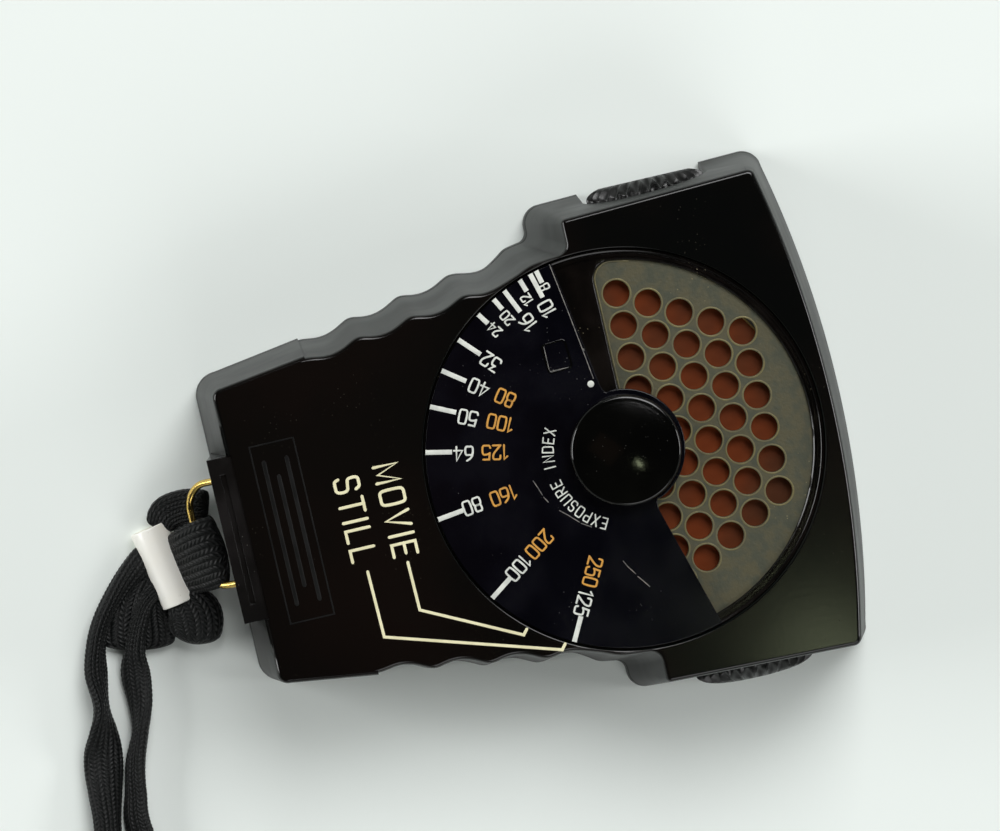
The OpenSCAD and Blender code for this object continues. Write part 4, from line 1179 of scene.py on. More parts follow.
    def build(self) -> None:
        strands = self.strands()
        band = self.tube("strap_band", (
            (1.6, -50.6, 4.6, 8.6, 1.3, 0), (1.6, -52.4, 3.6, 8.6, 1.3, 0), (1.8, -54.4, 3.0, 8.2, 1.3, 0),
            (2.2, -56.2, 2.2, 7.4, 1.3, 0)), nodes=["strap_loop"])
        cover = self.tube("strap_top_fold", (
            (1.8, -50.2, 6.3, 8.8, 1.4, 0), (1.9, -52.2, 6.2, 9.0, 1.5, 0), (2.2, -54.2, 5.0, 8.8, 1.5, 0),
            (2.6, -55.9, 3.3, 8.2, 1.5, 0), (2.8, -57.4, 2.1, 7.4, 1.3, 0)), power=0.6)
        lobe = self.tube("strap_left_fold", (
            (-2.2, -58.0, 1.9, 3.4, 2.2, 0), (-3.8, -56.8, 2.2, 4.4, 2.3, 0), (-4.3, -54.9, 2.5, 4.4, 2.3, 0),
            (-4.1, -53.0, 3.2, 4.4, 2.1, 0), (-3.6, -51.4, 4.2, 4.2, 1.8, 0)), power=0.55, ends=0.8)
        stub = self.tube("strap_right_fold", (
            (5.6, -57.3, 2.2, 3.0, 2.0, 0), (7.2, -56.7, 2.4, 5.4, 2.7, 0), (9.0, -56.2, 2.4, 7.0, 3.1, 0),
            (11.0, -56.3, 2.3, 6.6, 3.0, 0), (12.8, -56.8, 2.1, 4.6, 2.6, 0)),
            power=0.6, ends=1.3, nodes=["strap_stub"])
        under = self.tube("strap_under_fold", (
            (2.6, -60.0, 1.2, 4.6, 1.7, 0), (4.8, -61.8, 1.2, 7.0, 1.8, 0), (7.4, -63.0, 1.2, 8.6, 1.9, 0),
            (10.0, -63.6, 1.1, 9.4, 1.9, 0), (12.0, -64.0, 1.0, 8.4, 1.6, 0)), power=0.6, ends=1.0)
        ring, clip = self.ring(), self.clip()
        way = self.route(1.0)[:, :3]
        length = float(np.linalg.norm(np.diff(way, axis=0), axis=1).sum())
        log.info("cord length %.1f mm; ring %s", length, ring.name)


# ---- Case ----


@dataclass
class Case:
    """The moulded case: flared walls with finger hollows, and the cover that it lies on."""

    height: float = 25.0
    parting: float = 2.4
    head_y: float = 25.8
    head_r: float = 133.0
    corner_x: float = 29.5
    notch_x: float = 28.6
    waist_x: float = 22.2
    tail_x: float = 18.2
    tail_y: float = -46.8
    flare: float = 2.5
    end_flare: float = 3.1
    ridges: int = 4
    recess_r: float = 24.3
    recess_z: float = 23.5
    roof_z: float = 22.4
    drum_y: float = 10.2
    drum_z: float = 12.5
    slot_r: float = 7.9
    slot_x: float = 26.3
    edge: float = 0.5
    cover_edge: float = 0.7
    # edges sharper than this many degrees stay sharp, and faces steeper than this cosine get the satin side
    # finish, whose lighter tone is a painted reflection
    crease: float = 32.0
    steep: float = 0.45
    word_height: float = 2.9
    head_points: int = 39
    corner_points: int = 14
    notch_points: int = 12
    neck_points: int = 8
    tail_points: int = 16
    screws: tuple[tuple[float, float], ...] = ((26.6, 20.4), (-26.6, 20.4), (13.5, -42.4), (-13.5, -42.4))

    def ridge(self, k: int, f: float) -> Array:
        """Crest of finger ridge k, f being 0 at the front and 1 at the cell side."""
        return np.array([22.6 - 0.97 * k + (1 - f) * (2.7 - 0.26 * k), -14.8 - 6.73 * k - 0.8 * (1 - f)])

    def hollow(self, k: int, f: float) -> Array:
        """The hollow after ridge k: the line to the next ridge less a half wave 1 mm deep.

        Args:
            k: number of the ridge before it.
            f: 0 at the front and 1 at the cell side.

        Returns:
            Points up to the next crest, which is left out.
        """
        t = np.linspace(0, 1, 20, endpoint=False)[:, None]
        line = self.ridge(k, f) * (1 - t) + self.ridge(k + 1, f) * t
        return line - np.hstack([np.sin(np.pi * t), np.zeros_like(t)])

    def half(self, f: float) -> Array:
        """Right half of the outline from head to tail: arcs at the corners joined by lines.

        Args:
            f: 0 at the front and 1 at the cell side.

        Returns:
            Points, always the same number.
        """
        out = (1 - f) * self.flare
        top = self.head_y + (1 - f) * (self.end_flare + 0.2)
        cr, tr, nr = 2.6 - 1.6 * f, 3 - 1.8 * f, 2.4 - 1.8 * f
        cx = self.corner_x + out - 0.1 - cr
        cy = top - self.head_r + math.sqrt(self.head_r**2 - cx**2) - cr
        nx, ny = self.notch_x + out, -1.3 - (1 - f) * 3.9
        wx, tx = self.waist_x + out, self.tail_x + (1 - f) * (self.flare - 0.8)
        ty = self.tail_y - (1 - f) * self.end_flare
        x = np.linspace(0, cx, self.head_points + 1)[1:]
        head = np.stack([x, top - self.head_r + np.sqrt(self.head_r**2 - x**2)], 1)
        waist = np.array([[wx + 2.3, ny - 1.3], [wx + 2, ny * 0.55 - 12 * 0.45], [wx + 1.2, ny * 0.4 - 7.2],
                          [wx + 0.1, -11], [wx - 0.1, -12.6], self.ridge(0, f)])
        bends = np.linspace(0, 5, 30)[:-1]
        waist = np.stack([np.interp(bends, range(6), column) for column in waist.T], 1)
        return np.vstack([
            head, arc((cx, cy), cr, 70, 0, self.corner_points),
            arc((nx - nr, ny + nr), nr, 0, -90, self.notch_points),
            arc((wx + 3.6, ny - 1.3), 1.3, 90, 180, self.neck_points)[:-1], waist,
            *[self.hollow(k, f) for k in range(self.ridges - 1)], self.ridge(self.ridges - 1, f)[None],
            arc((tx - tr, ty + tr), tr, 0, -90, self.tail_points)])

    def ring(self, z: float, pull: float = 0.0) -> Array:
        """The closed outline at height z, pulled in by so many mm, with its crests eased.

        Each point between the waist and the last ridge is averaged with its neighbours by the
        weights 1 4 6 4 1 a few times over.

        Args:
            z: height of the outline.
            pull: mm inwards.

        Returns:
            (n, 3) points, counter-clockwise.
        """
        half = self.half(z / self.height)
        side = np.vstack([half, (half * [-1, 1])[::-1]])
        n = len(half)
        soft = np.zeros(n)
        first = self.head_points + self.corner_points + self.notch_points + self.neck_points
        soft[first : n - self.tail_points - 1] = 1.0
        soft = np.concatenate([soft, soft[::-1]])[:, None]
        for _ in range(3):
            mean = sum(w * np.roll(side, k, 0) for k, w in zip((-2, -1, 0, 1, 2), (1, 4, 6, 4, 1))) / 16
            side = side * (1 - soft) + mean * soft
        side = side[::-1]
        return np.column_stack([inset(side, pull) if pull else side, np.full(len(side), z)])

    def loft(self, levels: Sequence[tuple[float, float]]) -> Shell:
        """A solid through the outline at pairs of height and pull, closed at both ends."""
        return skin(np.array([self.ring(z, pull) for z, pull in levels]))

    def thumb_slot(self, side: int) -> Shell:
        """The slot that an end knob turns in: a round-topped trench along X, open at the front.

        Args:
            side: 1 or -1 along X.

        Returns:
            A surface to cut with.
        """
        top = arc((self.drum_y, self.drum_z), self.slot_r, 0, 180, 48)
        line = np.vstack([top, [[self.drum_y - self.slot_r, -2], [self.drum_y + self.slot_r, -2]]])
        x0, x1 = (self.slot_x, 40) if side > 0 else (-40, -self.slot_x)
        return along_x(plate(line, x0, x1))

    def inner_space(self) -> Shell:
        """The hollow inside, a straight-sided pocket under the roof.

        Returns:
            A surface to cut with.
        """
        right = np.array([[0, 23.8], [23.3, 21.6], [24.3, 20.6], [24.3, -0.6], [23.1, -1.8], [20.5, -5],
                          [19.8, -11], [15.8, -43.8], [14.8, -44.8]])
        line = np.vstack([right, (right[1:] * [-1, 1])[::-1]])[::-1]
        return plate(line, self.parting - 1, self.roof_z)

    def rear(self) -> bpy.types.Object:
        """The deep shell with the dial recess, the light opening and the thumb slots.

        Returns:
            The piece.
        """
        e, h, p = self.edge, self.height, self.parting
        a = np.radians(np.linspace(0, 90, 6))
        fillet = [(h - e + e * math.sin(k), e * (1 - math.cos(k))) for k in a]
        levels = [(p + 0.01, 0.12), (p + 0.12, 0.0), (4, 0), (8, 0), (12, 0), (16, 0), (20, 0)] + fillet
        obj = self.loft(levels).piece("case_shell")
        r, z = self.recess_r, self.recess_z
        recess = lathe([(0, z), (r, z), (r, h - 0.15), (r + 0.04, h - 0.06), (r + 0.16, h), (r + 0.16, h + 1),
                        (0, h + 1)], 192)
        light = np.vstack([arc((0, 0), 23.2, 0, 180, 90), arc((0, 0), 3.6, 180, 0, 24)])
        bores = [along_x(bore(2.63, side * 23.4, side * 27, (self.drum_y, self.drum_z))) for side in (-1, 1)]
        lug = box((-10.13, -60, 3.37), (10.13, -46.19, 30))
        carve(obj, recess, self.inner_space(), plate(light, self.roof_z - 1, z + 0.5),
              self.thumb_slot(-1), self.thumb_slot(1), *bores, lug, bore(2.62, 20, 24))
        soften(obj, self.crease)
        return self.satin_sides_with_painted_reflection(dress(obj, CASE, Body.CASE, ["rear_case"]))

    def cover(self) -> bpy.types.Object:
        """The shallow front cover with its rounded edge, window and screw seats.

        Returns:
            The piece.
        """
        b = self.cover_edge
        low = [(b - b * math.cos(k), b * (1 - math.sin(k))) for k in np.radians(np.linspace(0, 90, 6))]
        levels = low + [(1.6, 0), (self.parting - 0.12, 0), (self.parting - 0.01, 0.12)]
        obj = self.loft(levels).piece("case_cover")
        frame_cut = np.array([[-15.5, 3.2], [15.5, 3.2], [15.5, 18.2], [-15.5, 18.2]])
        window = stacked([(inset(frame_cut, -grow), z) for grow, z in ((0.91, -1.0), (0.0, 0.6), (0.0, 3.0))])
        seat = [(0, -1), (2.15, -1), (2.15, 0), (1.95, 0.2), (1.95, 1.31), (1.2, 1.31), (1.2, 4), (0, 4)]
        zero = [(0, -1), (2.8, -1), (2.8, 0), (2.5, 0.25), (2.5, 1.45), (1.25, 1.45), (1.25, 4), (0, 4)]
        carve(obj, self.thumb_slot(-1), self.thumb_slot(1), window, box((-16.9, 1.8, 0.6), (16.9, 19.6, 4)),
              lathe(zero, 48, (0, -31.5)), *[lathe(seat, 40, at) for at in self.screws])
        soften(obj, self.crease)
        return self.satin_sides_with_painted_reflection(dress(obj, CASE, Body.CASE, ["front_cover"]))

    def satin_sides_with_painted_reflection(self, obj: bpy.types.Object) -> bpy.types.Object:
        """Gives the steep faces the satin side finish, which the mould leaves less polished, and whose lighter,
        greener tone is a painted reflection of the pale floor.

        Args:
            obj: the case or its cover.

        Returns:
            The same piece.
        """
        obj.data.materials.append(WALL_PAINTED_REFLECTION.material())
        count = len(obj.data.polygons)
        normals = np.empty(count * 3, np.float32)
        obj.data.polygons.foreach_get("normal", normals)
        steep = np.abs(normals.reshape(-1, 3)[:, 2]) < self.steep
        obj.data.polygons.foreach_set("material_index", steep.astype(np.int32))
        return obj

    def legends(self) -> None:
        """Cream words and leader lines, and the moulded frame over the strap lug."""
        words = placed(lettering("MOVIE", self.word_height, 0.34, 0.95), (0.8, -28.5), 0)
        words += placed(lettering("STILL", self.word_height, 0.34, 0.95), (0.75, -33.5), 0)
        lines = [np.array([[7.3, -28.5], [13.2, -28.4], [19.0, -16.9], [18.4, -16.4]]),
                 np.array([[7.3, -33.45], [15.4, -33.3], [21.8, -12.8], [21.2, -12.3]])]
        shell = merged([paint_strokes(words, 0.42, self.height), paint_strokes(lines, 0.4, self.height)])
        dress(shell.piece("case_legends"), CREAM, Body.CASE)
        x0, x1, y0, y1 = -10.5, 11.3, -43.9, -38.5
        frame_line = np.array([[x0, y0], [x1, y0], [x1, y1], [x0, y1], [x0, y0]])
        ribs = [np.array([[x0 + 2.2 + 2 * (k % 2), y], [x1 - 2.2 - 2 * (k % 2), y]])
                for k, y in enumerate((-39.8, -41.2, -42.6))]
        mould = merged([paint_strokes([frame_line], 0.22, self.height, 0.05),
                        paint_strokes(ribs, 0.55, self.height, 0.06)])
        dress(mould.piece("case_moulded_panel"), PANEL, Body.CASE)

    def build(self) -> None:
        """Makes the case, its cover, its lettering and the lug block."""
        self.rear()
        self.cover()
        self.legends()
        lug = refined("lug_block", "lug_block_round", 0.35)
        dress(lug, LUG, Body.CASE, ["lug_block"])


# ---- Dial, bezel and cell ----


@dataclass
class CellWindow:
    """The bezel plate with its D-shaped opening, and the perforated baffle under it."""

    bezel_r: float = 24.2
    bezel_top: float = 24.0
    baffle_top: float = 23.5
    shift: float = -0.7
    first_row: float = 17.1
    rows: int = 5
    least: int = 6
    light_r: float = 22.8
    light_y: float = 0.95
    corner: float = 2.2
    tab_r: float = 3.6
    hole_r: float = 1.6
    # points of the opening between which the baffle's raised lip runs, its light olive a painted highlight on
    # that edge
    lip_from: int = 128
    lip_to: int = 149
    pitch: float = 3.95
    row: float = 3.45

    def opening(self, grow: float = 0.0) -> Array:
        """The D outline: the window's arc, two rounded corners, the straight edge and the tab.

        Args:
            grow: mm outwards.

        Returns:
            (n, 2) points, counter-clockwise.
        """
        c, y = self.corner, self.light_y
        reach = self.light_r - c
        cy = y + c
        cx = math.sqrt(reach**2 - cy**2)
        lean = math.degrees(math.atan2(cy, cx))
        tab = math.degrees(math.asin(y / self.tab_r))
        line = np.vstack([
            arc((cx, cy), c, -90, lean, 14)[:-1], arc((0, 0), self.light_r, lean, 180 - lean, 120),
            arc((-cx, cy), c, 180 - lean, 270, 14)[1:], arc((0, 0), self.tab_r, 180 - tab, tab, 28)])
        return inset(line, -grow) if grow else line

    def bezel(self) -> None:
        """The fixed plate: a disc with two fine grooves near its rim, cut by the D opening."""
        r, low, top = self.bezel_r, self.baffle_top, self.bezel_top
        profile = [(0, low), (r, low), (r, top - 0.1), (r - 0.08, top)]
        for groove in (0.42, 0.95):
            profile += [(r - groove, top), (r - groove - 0.07, top - 0.16), (r - groove - 0.15, top - 0.16),
                        (r - groove - 0.22, top)]
        obj = lathe(profile + [(0, top)], 240).piece("dial_bezel_plate")
        levels = [(22.5, 0.0), (top - 0.22, 0.0), (top - 0.1, 0.05), (top + 0.02, 0.2), (top + 1, 0.2)]
        carve(obj, stacked([(self.opening(grow), z) for z, grow in levels]), bore(2.65, 22, 26))
        soften(obj, 30)
        dress(obj, BEZEL, Body.CASE, ["dial_bezel"])

    def centres(self) -> list[tuple[float, float]]:
        """Places of the holes: each row has one more than the row before it.

        Returns:
            Pairs of x and y, for the holes that clear the tab.
        """
        found = []
        for row in range(self.rows):
            for k in range(row + self.least):
                x = self.pitch * (k - (row + self.least - 1) / 2) + self.shift
                y = self.first_row - self.row * row
                if math.hypot(x, y) > self.tab_r + self.hole_r + 0.4:
                    found.append((x, y))
        return found

    def baffle(self) -> None:
        """The grey-green plate: a half-moon with rounded holes, a raised olive rim at each, and a light olive
        lip along the opening that is a painted highlight.
        """
        outline = np.vstack([arc((0, 0), 23.1, 0, 180, 120), arc((0, 0), 3.63, 180, 0, 28)])
        r, top = self.hole_r, self.baffle_top
        obj = plate(outline, 22.9, top).piece("cell_baffle_plate")
        hole = [(0, 22), (r, 22), (r, top - 0.2), (r + 0.05, top - 0.07), (r + 0.16, top),
                (r + 0.16, 25), (0, 25)]
        rim = [(r + 0.14 + 0.12 * math.cos(k), top - 0.01 + 0.06 * math.sin(k))
               for k in np.radians(np.linspace(0, 360, 9))]
        carve(obj, merged([lathe(hole, 40, at) for at in self.centres()]))
        soften(obj, 30)
        dress(obj, BAFFLE, Body.CASE, ["cell_baffle"])
        rims = merged([lathe(rim, 40, at) for at in self.centres()])
        dress(rims.piece("cell_baffle_rims"), RIM, Body.CASE)
        # Raised stroke in light olive along the opening's corner and straight edge: a painted highlight where
        # that edge catches the light.
        lip = self.opening(-0.15)[self.lip_from : self.lip_to]
        dress(paint_strokes([lip], 0.2, top, 0.12).piece("cell_baffle_lip_highlight"), RIM, Body.CASE)

    def build(self) -> None:
        """Makes the bezel and the baffle."""
        self.bezel()
        self.baffle()


@dataclass
class ExposureDial:
    """The turning sector with its numbers, and the domed knob that turns it."""

    r: float = 24.0
    hub_r: float = 7.3
    start: float = 188.1
    end: float = 376.7
    low: float = 24.1
    top: float = 24.7
    knob_r: float = 6.65
    knob_top: float = 28.4
    knob_edge: float = 0.42
    # the words round the hub: their radius, the first sign's angle and the angle between signs
    word_r: float = 9.25
    word_start: float = -28.5
    word_step: float = 6.75
    # number, its centre, the outer end of its tick, and the tick's length
    whites: tuple[tuple[str, float, float, float, float, float], ...] = (
        ("8", -21.2, -5.0, -23.6, -5.6, 1.9), ("10", -18.6, -5.3, -23.4, -6.4, 3.5),
        ("12", -20.2, -7.4, -23.0, -7.8, 1.9), ("16", -17.5, -7.9, -22.1, -9.9, 3.5),
        ("20", -18.6, -10.2, -21.4, -11.4, 1.9), ("24", -17.6, -12.0, -20.1, -13.7, 1.9),
        ("32", -13.9, -13.3, -17.8, -16.9, 3.5), ("40", -11.2, -15.4, -14.6, -19.8, 3.5),
        ("50", -8.0, -17.5, -10.6, -22.2, 3.5), ("64", -3.9, -19.0, -5.2, -23.9, 3.5),
        ("80", 2.5, -19.4, 3.2, -24.3, 3.5), ("100", 11.0, -15.7, 14.2, -20.1, 3.5),
        ("125", 16.9, -9.0, 21.5, -11.3, 3.5))
    small: tuple[str, ...] = ("8", "12", "20", "24")
    # height of a full sign and of one of the small signs
    tall: float = 1.68
    low_tall: float = 1.155
    # Grey strokes: short scuff marks, plus a long one along the straight edge and one along two sides of the
    # pad's rim, which are painted highlights on those edges.
    scuffs_and_edge_highlights: tuple[tuple[tuple[float, float], ...], ...] = (
        ((13.1, -3.2), (13.9, -2.8), (14.9, -2.1)), ((15.3, -1.9), (16.1, -1.3), (16.8, -0.8)),
        ((1.2, -11.6), (2.2, -11.2), (3.1, -10.9)), ((3.4, -10.8), (4.1, -10.4)),
        ((5.4, -9.3), (6.2, -8.4), (7.3, -7.3)), ((7.5, -7.1), (8.2, -6.0)), ((-12.9, -2.1), (-12.7, -2.1)),
        ((-9.2, -1.75), (-13.0, -2.25), (-18.0, -2.95), (-23.7, -3.8)),
        ((-14.2, -6.7), (-11.25, -6.7), (-11.15, -6.6), (-11.15, -4.3)))
    oranges: tuple[tuple[str, float, float], ...] = (
        ("80", -9.3, -12.6), ("100", -6.5, -13.9), ("125", -3.2, -15.3), ("160", 2.1, -15.5),
        ("200", 8.8, -12.6), ("250", 13.5, -7.1))

    def outline(self) -> Array:
        """The sector's rim, then the bare part of the hub, with a small hollow fillet at each.

        Returns:
            (n, 2) points, counter-clockwise.
        """
        rim = arc((0, 0), self.r, self.start + 0.4, self.end - 0.4, 220)
        hub = arc((0, 0), self.hub_r, self.end - 360 + 9, self.start - 7, 90)
        edges = []
        for angle in (self.end - 360, self.start):
            a = math.radians(angle)
            out = np.array([math.cos(a), math.sin(a)])
            edges.append((out * (self.hub_r + 1.0), out * self.hub_r))
        near = spline(np.array([edges[0][0], edges[0][1] + (hub[0] - edges[0][1]) * 0.35, hub[0]]), 6)[:-1]
        far = spline(np.array([hub[-1], edges[1][1] + (hub[-1] - edges[1][1]) * 0.35, edges[1][0]]), 6)[1:]
        return np.vstack([rim, near, hub, far])

    def number_lines(self, rows: Sequence[tuple], height: float) -> list[Array]:
        """Lines of numbers that read outwards from the dial's centre.

        Args:
            rows: rows that start with the number and its x and y.
            height: height of a sign.

        Returns:
            The lines.
        """
        lines = []
        for text, x, y, *_ in rows:
            lines += placed(lettering(text, height, 0.2, 0.92), (x, y), math.degrees(math.atan2(y, x)))
        return lines

    def printing(self) -> None:
        """White ticks, numbers and words, orange numbers, and grey strokes: scuff marks, and painted highlights
        along the dial's straight edge and the pad's rim.
        """
        large = [row for row in self.whites if row[0] not in self.small]
        little = [row for row in self.whites if row[0] in self.small]
        ticks = []
        for _, _, _, x, y, long in self.whites:
            reach = math.hypot(x, y)
            out = np.array([x, y]) / reach
            tip = min(reach, self.r - 0.02)
            ticks.append(np.array([out * (tip - long + 0.3), out * tip]))
        words = []
        for k, sign in enumerate("EXPOSURE INDEX"):
            angle = self.word_start - self.word_step * k
            a, r = math.radians(angle), self.word_r
            words += placed(lettering(sign, 1.3, 0.2, 0.86), (r * math.cos(a), r * math.sin(a)), angle - 90)
        top = self.top
        dot = lathe([(0, top + 0.06), (0.3, top + 0.05), (0.45, top - 0.02), (0, top - 0.02)], 24, (-8.6, -2.2))
        white = merged([
            paint_strokes(self.number_lines(large, self.tall), 0.27, top),
            paint_strokes(self.number_lines(little, self.low_tall), 0.22, top),
            paint_strokes(ticks, 0.64, top, square=True), paint_strokes(words, 0.2, top), dot])
        dress(white.piece("dial_white_print"), WHITE, Body.DIAL)
        orange = paint_strokes(self.number_lines(self.oranges, self.tall), 0.27, top)
        dress(orange.piece("dial_orange_print"), ORANGE, Body.DIAL)
        scuffs_and_edge_highlights = paint_strokes([np.array(line) for line in self.scuffs_and_edge_highlights], 0.12, top, 0.02)
        dress(scuffs_and_edge_highlights.piece("dial_scuffs_and_edge_highlights"), SCUFF_AND_HIGHLIGHT, Body.DIAL)

    def pad(self) -> None:
        """The small moulded rectangle beside the dot, a raised rim with rounded corners."""
        c, w, h, r = (-12.75, -5.45), 1.75, 1.45, 0.45
        corners = [((w - r, h - r), 0), ((r - w, h - r), 90), ((r - w, r - h), 180), ((w - r, r - h), 270)]
        line = np.vstack([arc(at, r, a, a + 90, 8) for at, a in corners])
        line = placed([np.vstack([line, line[:1]])], c, 4)[0]
        rim = paint_strokes([line], 0.24, self.top, 0.1)
        dress(rim.piece("dial_pad_rim"), KNOB, Body.DIAL)

    def knob(self) -> None:
        """The knob: a shallow dome z = top − 0.55·(r/6.1)², a rounded shoulder and a drawn-in foot."""
        r = np.linspace(0, self.knob_r - 0.55, 24)
        dome = [(float(k), self.knob_top - 0.55 * (k / 6.1) ** 2) for k in r]
        a = np.radians(np.linspace(75, 0, 10))
        edge = dome[-1][1]
        b = self.knob_edge
        shoulder = [(self.knob_r - b + b * math.cos(k), edge - b + b * math.sin(k)) for k in a]
        foot = [(self.knob_r, self.top + 0.9), (self.knob_r - 0.12, self.top + 0.35),
                (self.knob_r - 0.35, self.top + 0.01), (0, self.top + 0.01)]
        obj = lathe(dome + shoulder + foot, 160).piece("dial_knob_domed", crease=30)
        dress(obj, KNOB, Body.DIAL, ["dial_knob"])

    def build(self) -> None:
        """Makes the dial plate, its printing, its pad and its knob."""
        obj = plate(self.outline(), self.low, self.top, 0.12).piece("exposure_dial_plate", crease=50)
        dress(obj, DIAL, Body.DIAL, ["exposure_dial"])
        self.printing()
        self.pad()
        self.knob()


@dataclass
class EndKnobs:
    """The two fluted knobs on the drum shaft, domed outwards, each in its thumb slot."""

    r: float = 7.4
    x0: float = 26.7
    x1: float = 31.2
    skirt: float = 1.8
    flutes: int = 30
    depth: float = 0.55
    axis: tuple[float, float] = (10.2, 12.5)

    def knob(self, side: int, name: str, node: str) -> None:
        """A turned profile whose radius and face lose depth·|sin(n·a/2)| where the ribs are cut.

        Args:
            side: 1 or -1 along X.
            name: name of the piece.
            node: the CAD node that it stands for.
        """
        u = np.linspace(0, 1, 26)
        reach = self.x1 - self.x0
        dome = np.sqrt(np.clip(1 - ((u - 0.72) / 0.34).clip(0, 1) ** 2, 0, 1))
        radius = self.r * (0.45 + 0.55 * dome)
        bite = np.clip((u - self.skirt / reach * 0.25) / 0.08, 0, 1) * np.clip((1.02 - u) / 0.1, 0, 1)
        radius = np.concatenate([[0, self.r - 0.25], radius, [0]])
        x = np.concatenate([[0, 0], 0.06 + u * 0.94, [1.0]]) * reach
        bite = np.concatenate([[0, 0], bite, [0]])
        a = np.linspace(0, 2 * np.pi, self.flutes * 14, endpoint=False)
        groove = np.abs(np.sin(self.flutes * a / 2)) ** 0.8
        rr = radius[:, None] - (self.depth * bite * (radius / self.r))[:, None] * groove
        sunk = self.depth * 1.1 * np.clip((u - 0.6) / 0.2, 0, 1) * np.clip((1.0 - u) / 0.12, 0.0, 1)
        sunk = np.concatenate([[0, 0], sunk, [0]])
        xx = side * (self.x0 + x[:, None] - sunk[:, None] * groove)
        rings = np.stack([xx, self.axis[0] + rr * np.cos(a), self.axis[1] + rr * np.sin(a)], -1)
        obj = skin(rings, caps=False).piece(name, crease=40)
        dress(obj, GRIP_KNOB, Body.DRUM, [node])

    def build(self) -> None:
        """Makes both knobs."""
        self.knob(-1, "left_fluted_knob", "left_knob")
        self.knob(1, "right_fluted_knob", "right_knob")


# ---- Front face and inner works ----


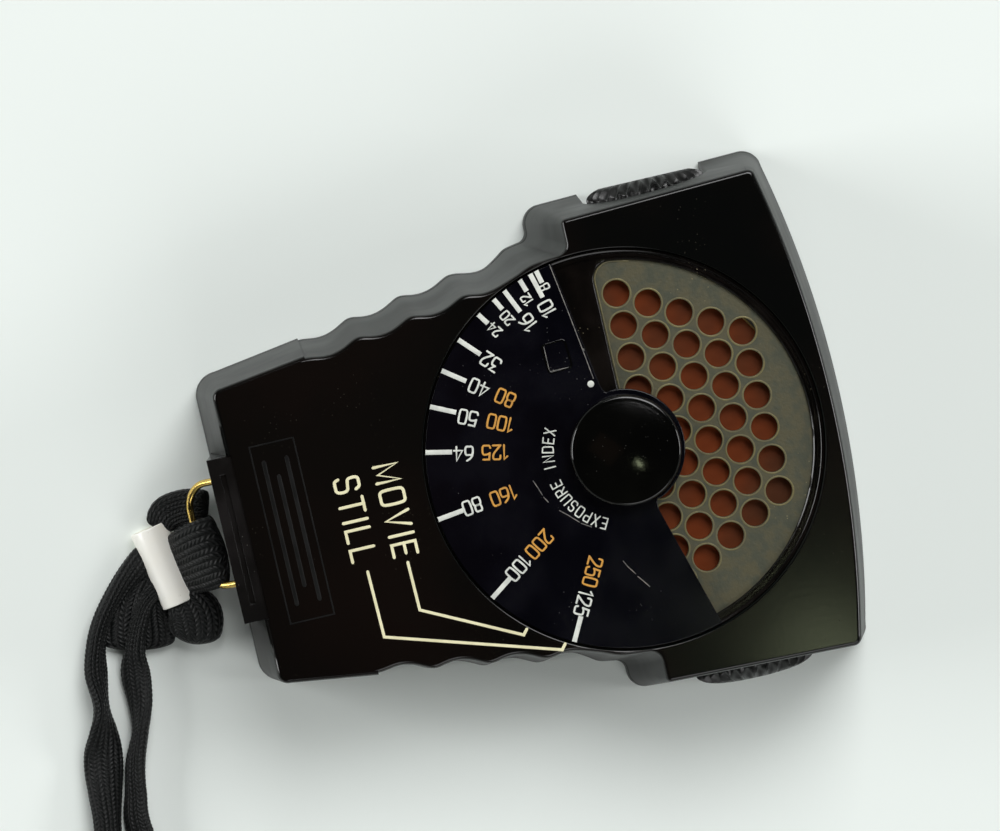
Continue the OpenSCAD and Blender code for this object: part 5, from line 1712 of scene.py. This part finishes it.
@dataclass
class FrontScale:
    """Printing behind the front window: the needle's scale and the drum's numbers."""

    plate_z: float = 5.5
    pivot_y: float = -24.5
    tick_step: float = 2.3
    long_tick: float = 30.4
    short_tick: float = 31.2
    tick_end: float = 32.2
    number_r: float = 28.9
    lift: float = 0.03
    drum_rows: int = 12
    drum_r: float = 6.2
    drum_axis: tuple[float, float] = (10.2, 12.5)

    def facing_front(self, shell: Shell) -> Shell:
        """Printing made at level 0, mirrored in X and laid on the plate's front face."""
        return shell.mapped(lambda p: np.stack([-p[:, 0], p[:, 1], self.plate_z - p[:, 2]], 1))

    def scale(self) -> None:
        """Ticks on an arc about the needle's pivot, a line under them, and numbers."""
        lines, numbers = [], []
        for k in range(-10, 11):
            a = math.radians(90 - self.tick_step * k)
            out = np.array([math.cos(a), math.sin(a)])
            inner = self.long_tick if k % 2 == 0 else self.short_tick
            lines.append(np.array([out * inner, out * self.tick_end]) + [0, self.pivot_y])
        for k, text in zip(range(-10, 11, 5), ("2", "4", "8", "16", "32")):
            a = math.radians(90 - self.tick_step * k)
            at = (self.number_r * math.cos(a), self.number_r * math.sin(a) + self.pivot_y)
            numbers += placed(lettering(text, 1.2, 0.22, 0.9), at, -self.tick_step * k)
        numbers += placed(lettering("10", 1.4, 0.22), (-11, 15.4), 0)
        numbers += placed(lettering("50", 1.4, 0.22), (11, 15.4), 0)
        ring = arc((0, self.pivot_y), self.tick_end + 0.2, 66, 114, 60)
        rule = np.array([[-13.5, 13.2], [13.5, 13.2]])
        shell = merged([paint_strokes(lines, 0.16, 0.0, self.lift, square=True),
                        paint_strokes(numbers, 0.17, 0.0, self.lift),
                        paint_strokes([ring, rule], 0.18, 0.0, self.lift)])
        dress(self.facing_front(shell).piece("scale_print"), INK, Body.CASE)

    def drum(self) -> None:
        """Rows of numbers wrapped on the drum: (u, v, h) goes to angle v/r at radius r + h."""
        rows = (("2.8", "4", "5.6", "8", "11", "16", "22"), ("4", "5.6", "8", "11", "16", "22", "32"))
        y, z = self.drum_axis
        bent = []
        for k in range(self.drum_rows):
            lines = []
            for m, text in enumerate(rows[k % 2]):
                lines += placed(lettering(text, 1.3, 0.22, 0.9), (-12 + 4 * m, 0), 0)
            turn = math.radians(360 / self.drum_rows * k)
            bent.append(paint_strokes(lines, 0.18, 0.0, self.lift).mapped(lambda p, turn=turn: np.stack([
                -p[:, 0], y + (self.drum_r + p[:, 2]) * np.sin(p[:, 1] / self.drum_r + turn),
                z - (self.drum_r + p[:, 2]) * np.cos(p[:, 1] / self.drum_r + turn)], 1)))
        dress(merged(bent).piece("drum_print"), INK, Body.DRUM)

    def build(self) -> None:
        """Makes the printing."""
        self.scale()
        self.drum()


@dataclass
class InnerWorks:
    """Finishes for the parts that keep their own CAD shape."""

    finishes: dict[str, Finish] = field(default_factory=lambda: {
        "front_window": WINDOW, "case_screws": STEEL, "cell_gasket": FELT, "cell_contact_ring": WORKS_BRASS,
        "selenium_cell": CELL, "cell_back_spring": STEEL, "cell_holder": HOLDER, "holder_screws": STEEL,
        "cell_leads": LEAD, "dial_bush": WORKS_BRASS, "dial_spindle": STEEL, "spring_washer": STEEL,
        "retaining_clip": STEEL, "scale_plate": ENAMEL, "scale_drum": ENAMEL, "drum_shaft": STEEL,
        "drum_bushes": WORKS_BRASS, "detent_wheel": WORKS_BRASS, "click_spring": STEEL, "magnet_ring": ALLOY,
        "iron_core": STEEL, "movement_plate": WORKS_BRASS, "movement_pillars": WORKS_BRASS,
        "movement_screws": STEEL, "lower_bridge": WORKS_BRASS, "upper_bridge": WORKS_BRASS,
        "jewel_bearings": JEWEL, "pivot_staff": STEEL, "moving_coil": COPPER, "hairsprings": WORKS_BRASS,
        "needle": POINTER, "zero_arm": WORKS_BRASS, "zero_screw": STEEL, "terminal_board": BOARD,
        "series_resistor": HOLDER})

    def build(self) -> None:
        """Dresses each node, and names any node that is shown without a finish."""
        for node, finish in self.finishes.items():
            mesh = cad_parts[node].data
            mesh.materials.clear()
            mesh.materials.append(finish.material())
        bare = [n for n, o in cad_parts.items() if n not in self.finishes and not o.hide_render]
        log.info("%d inner nodes dressed; bare: %s", len(self.finishes), bare)


def main() -> None:
    """Builds the studio and each sub-assembly in order."""
    logging.basicConfig(level=logging.INFO, format="%(name)s: %(message)s")
    for part in (Studio(), Strap(), Case(), CellWindow(), ExposureDial(), EndKnobs(), FrontScale(),
                 InnerWorks()):
        part.build()
        log.info("%s done", type(part).__name__)


if __name__ == "__main__":
    main()
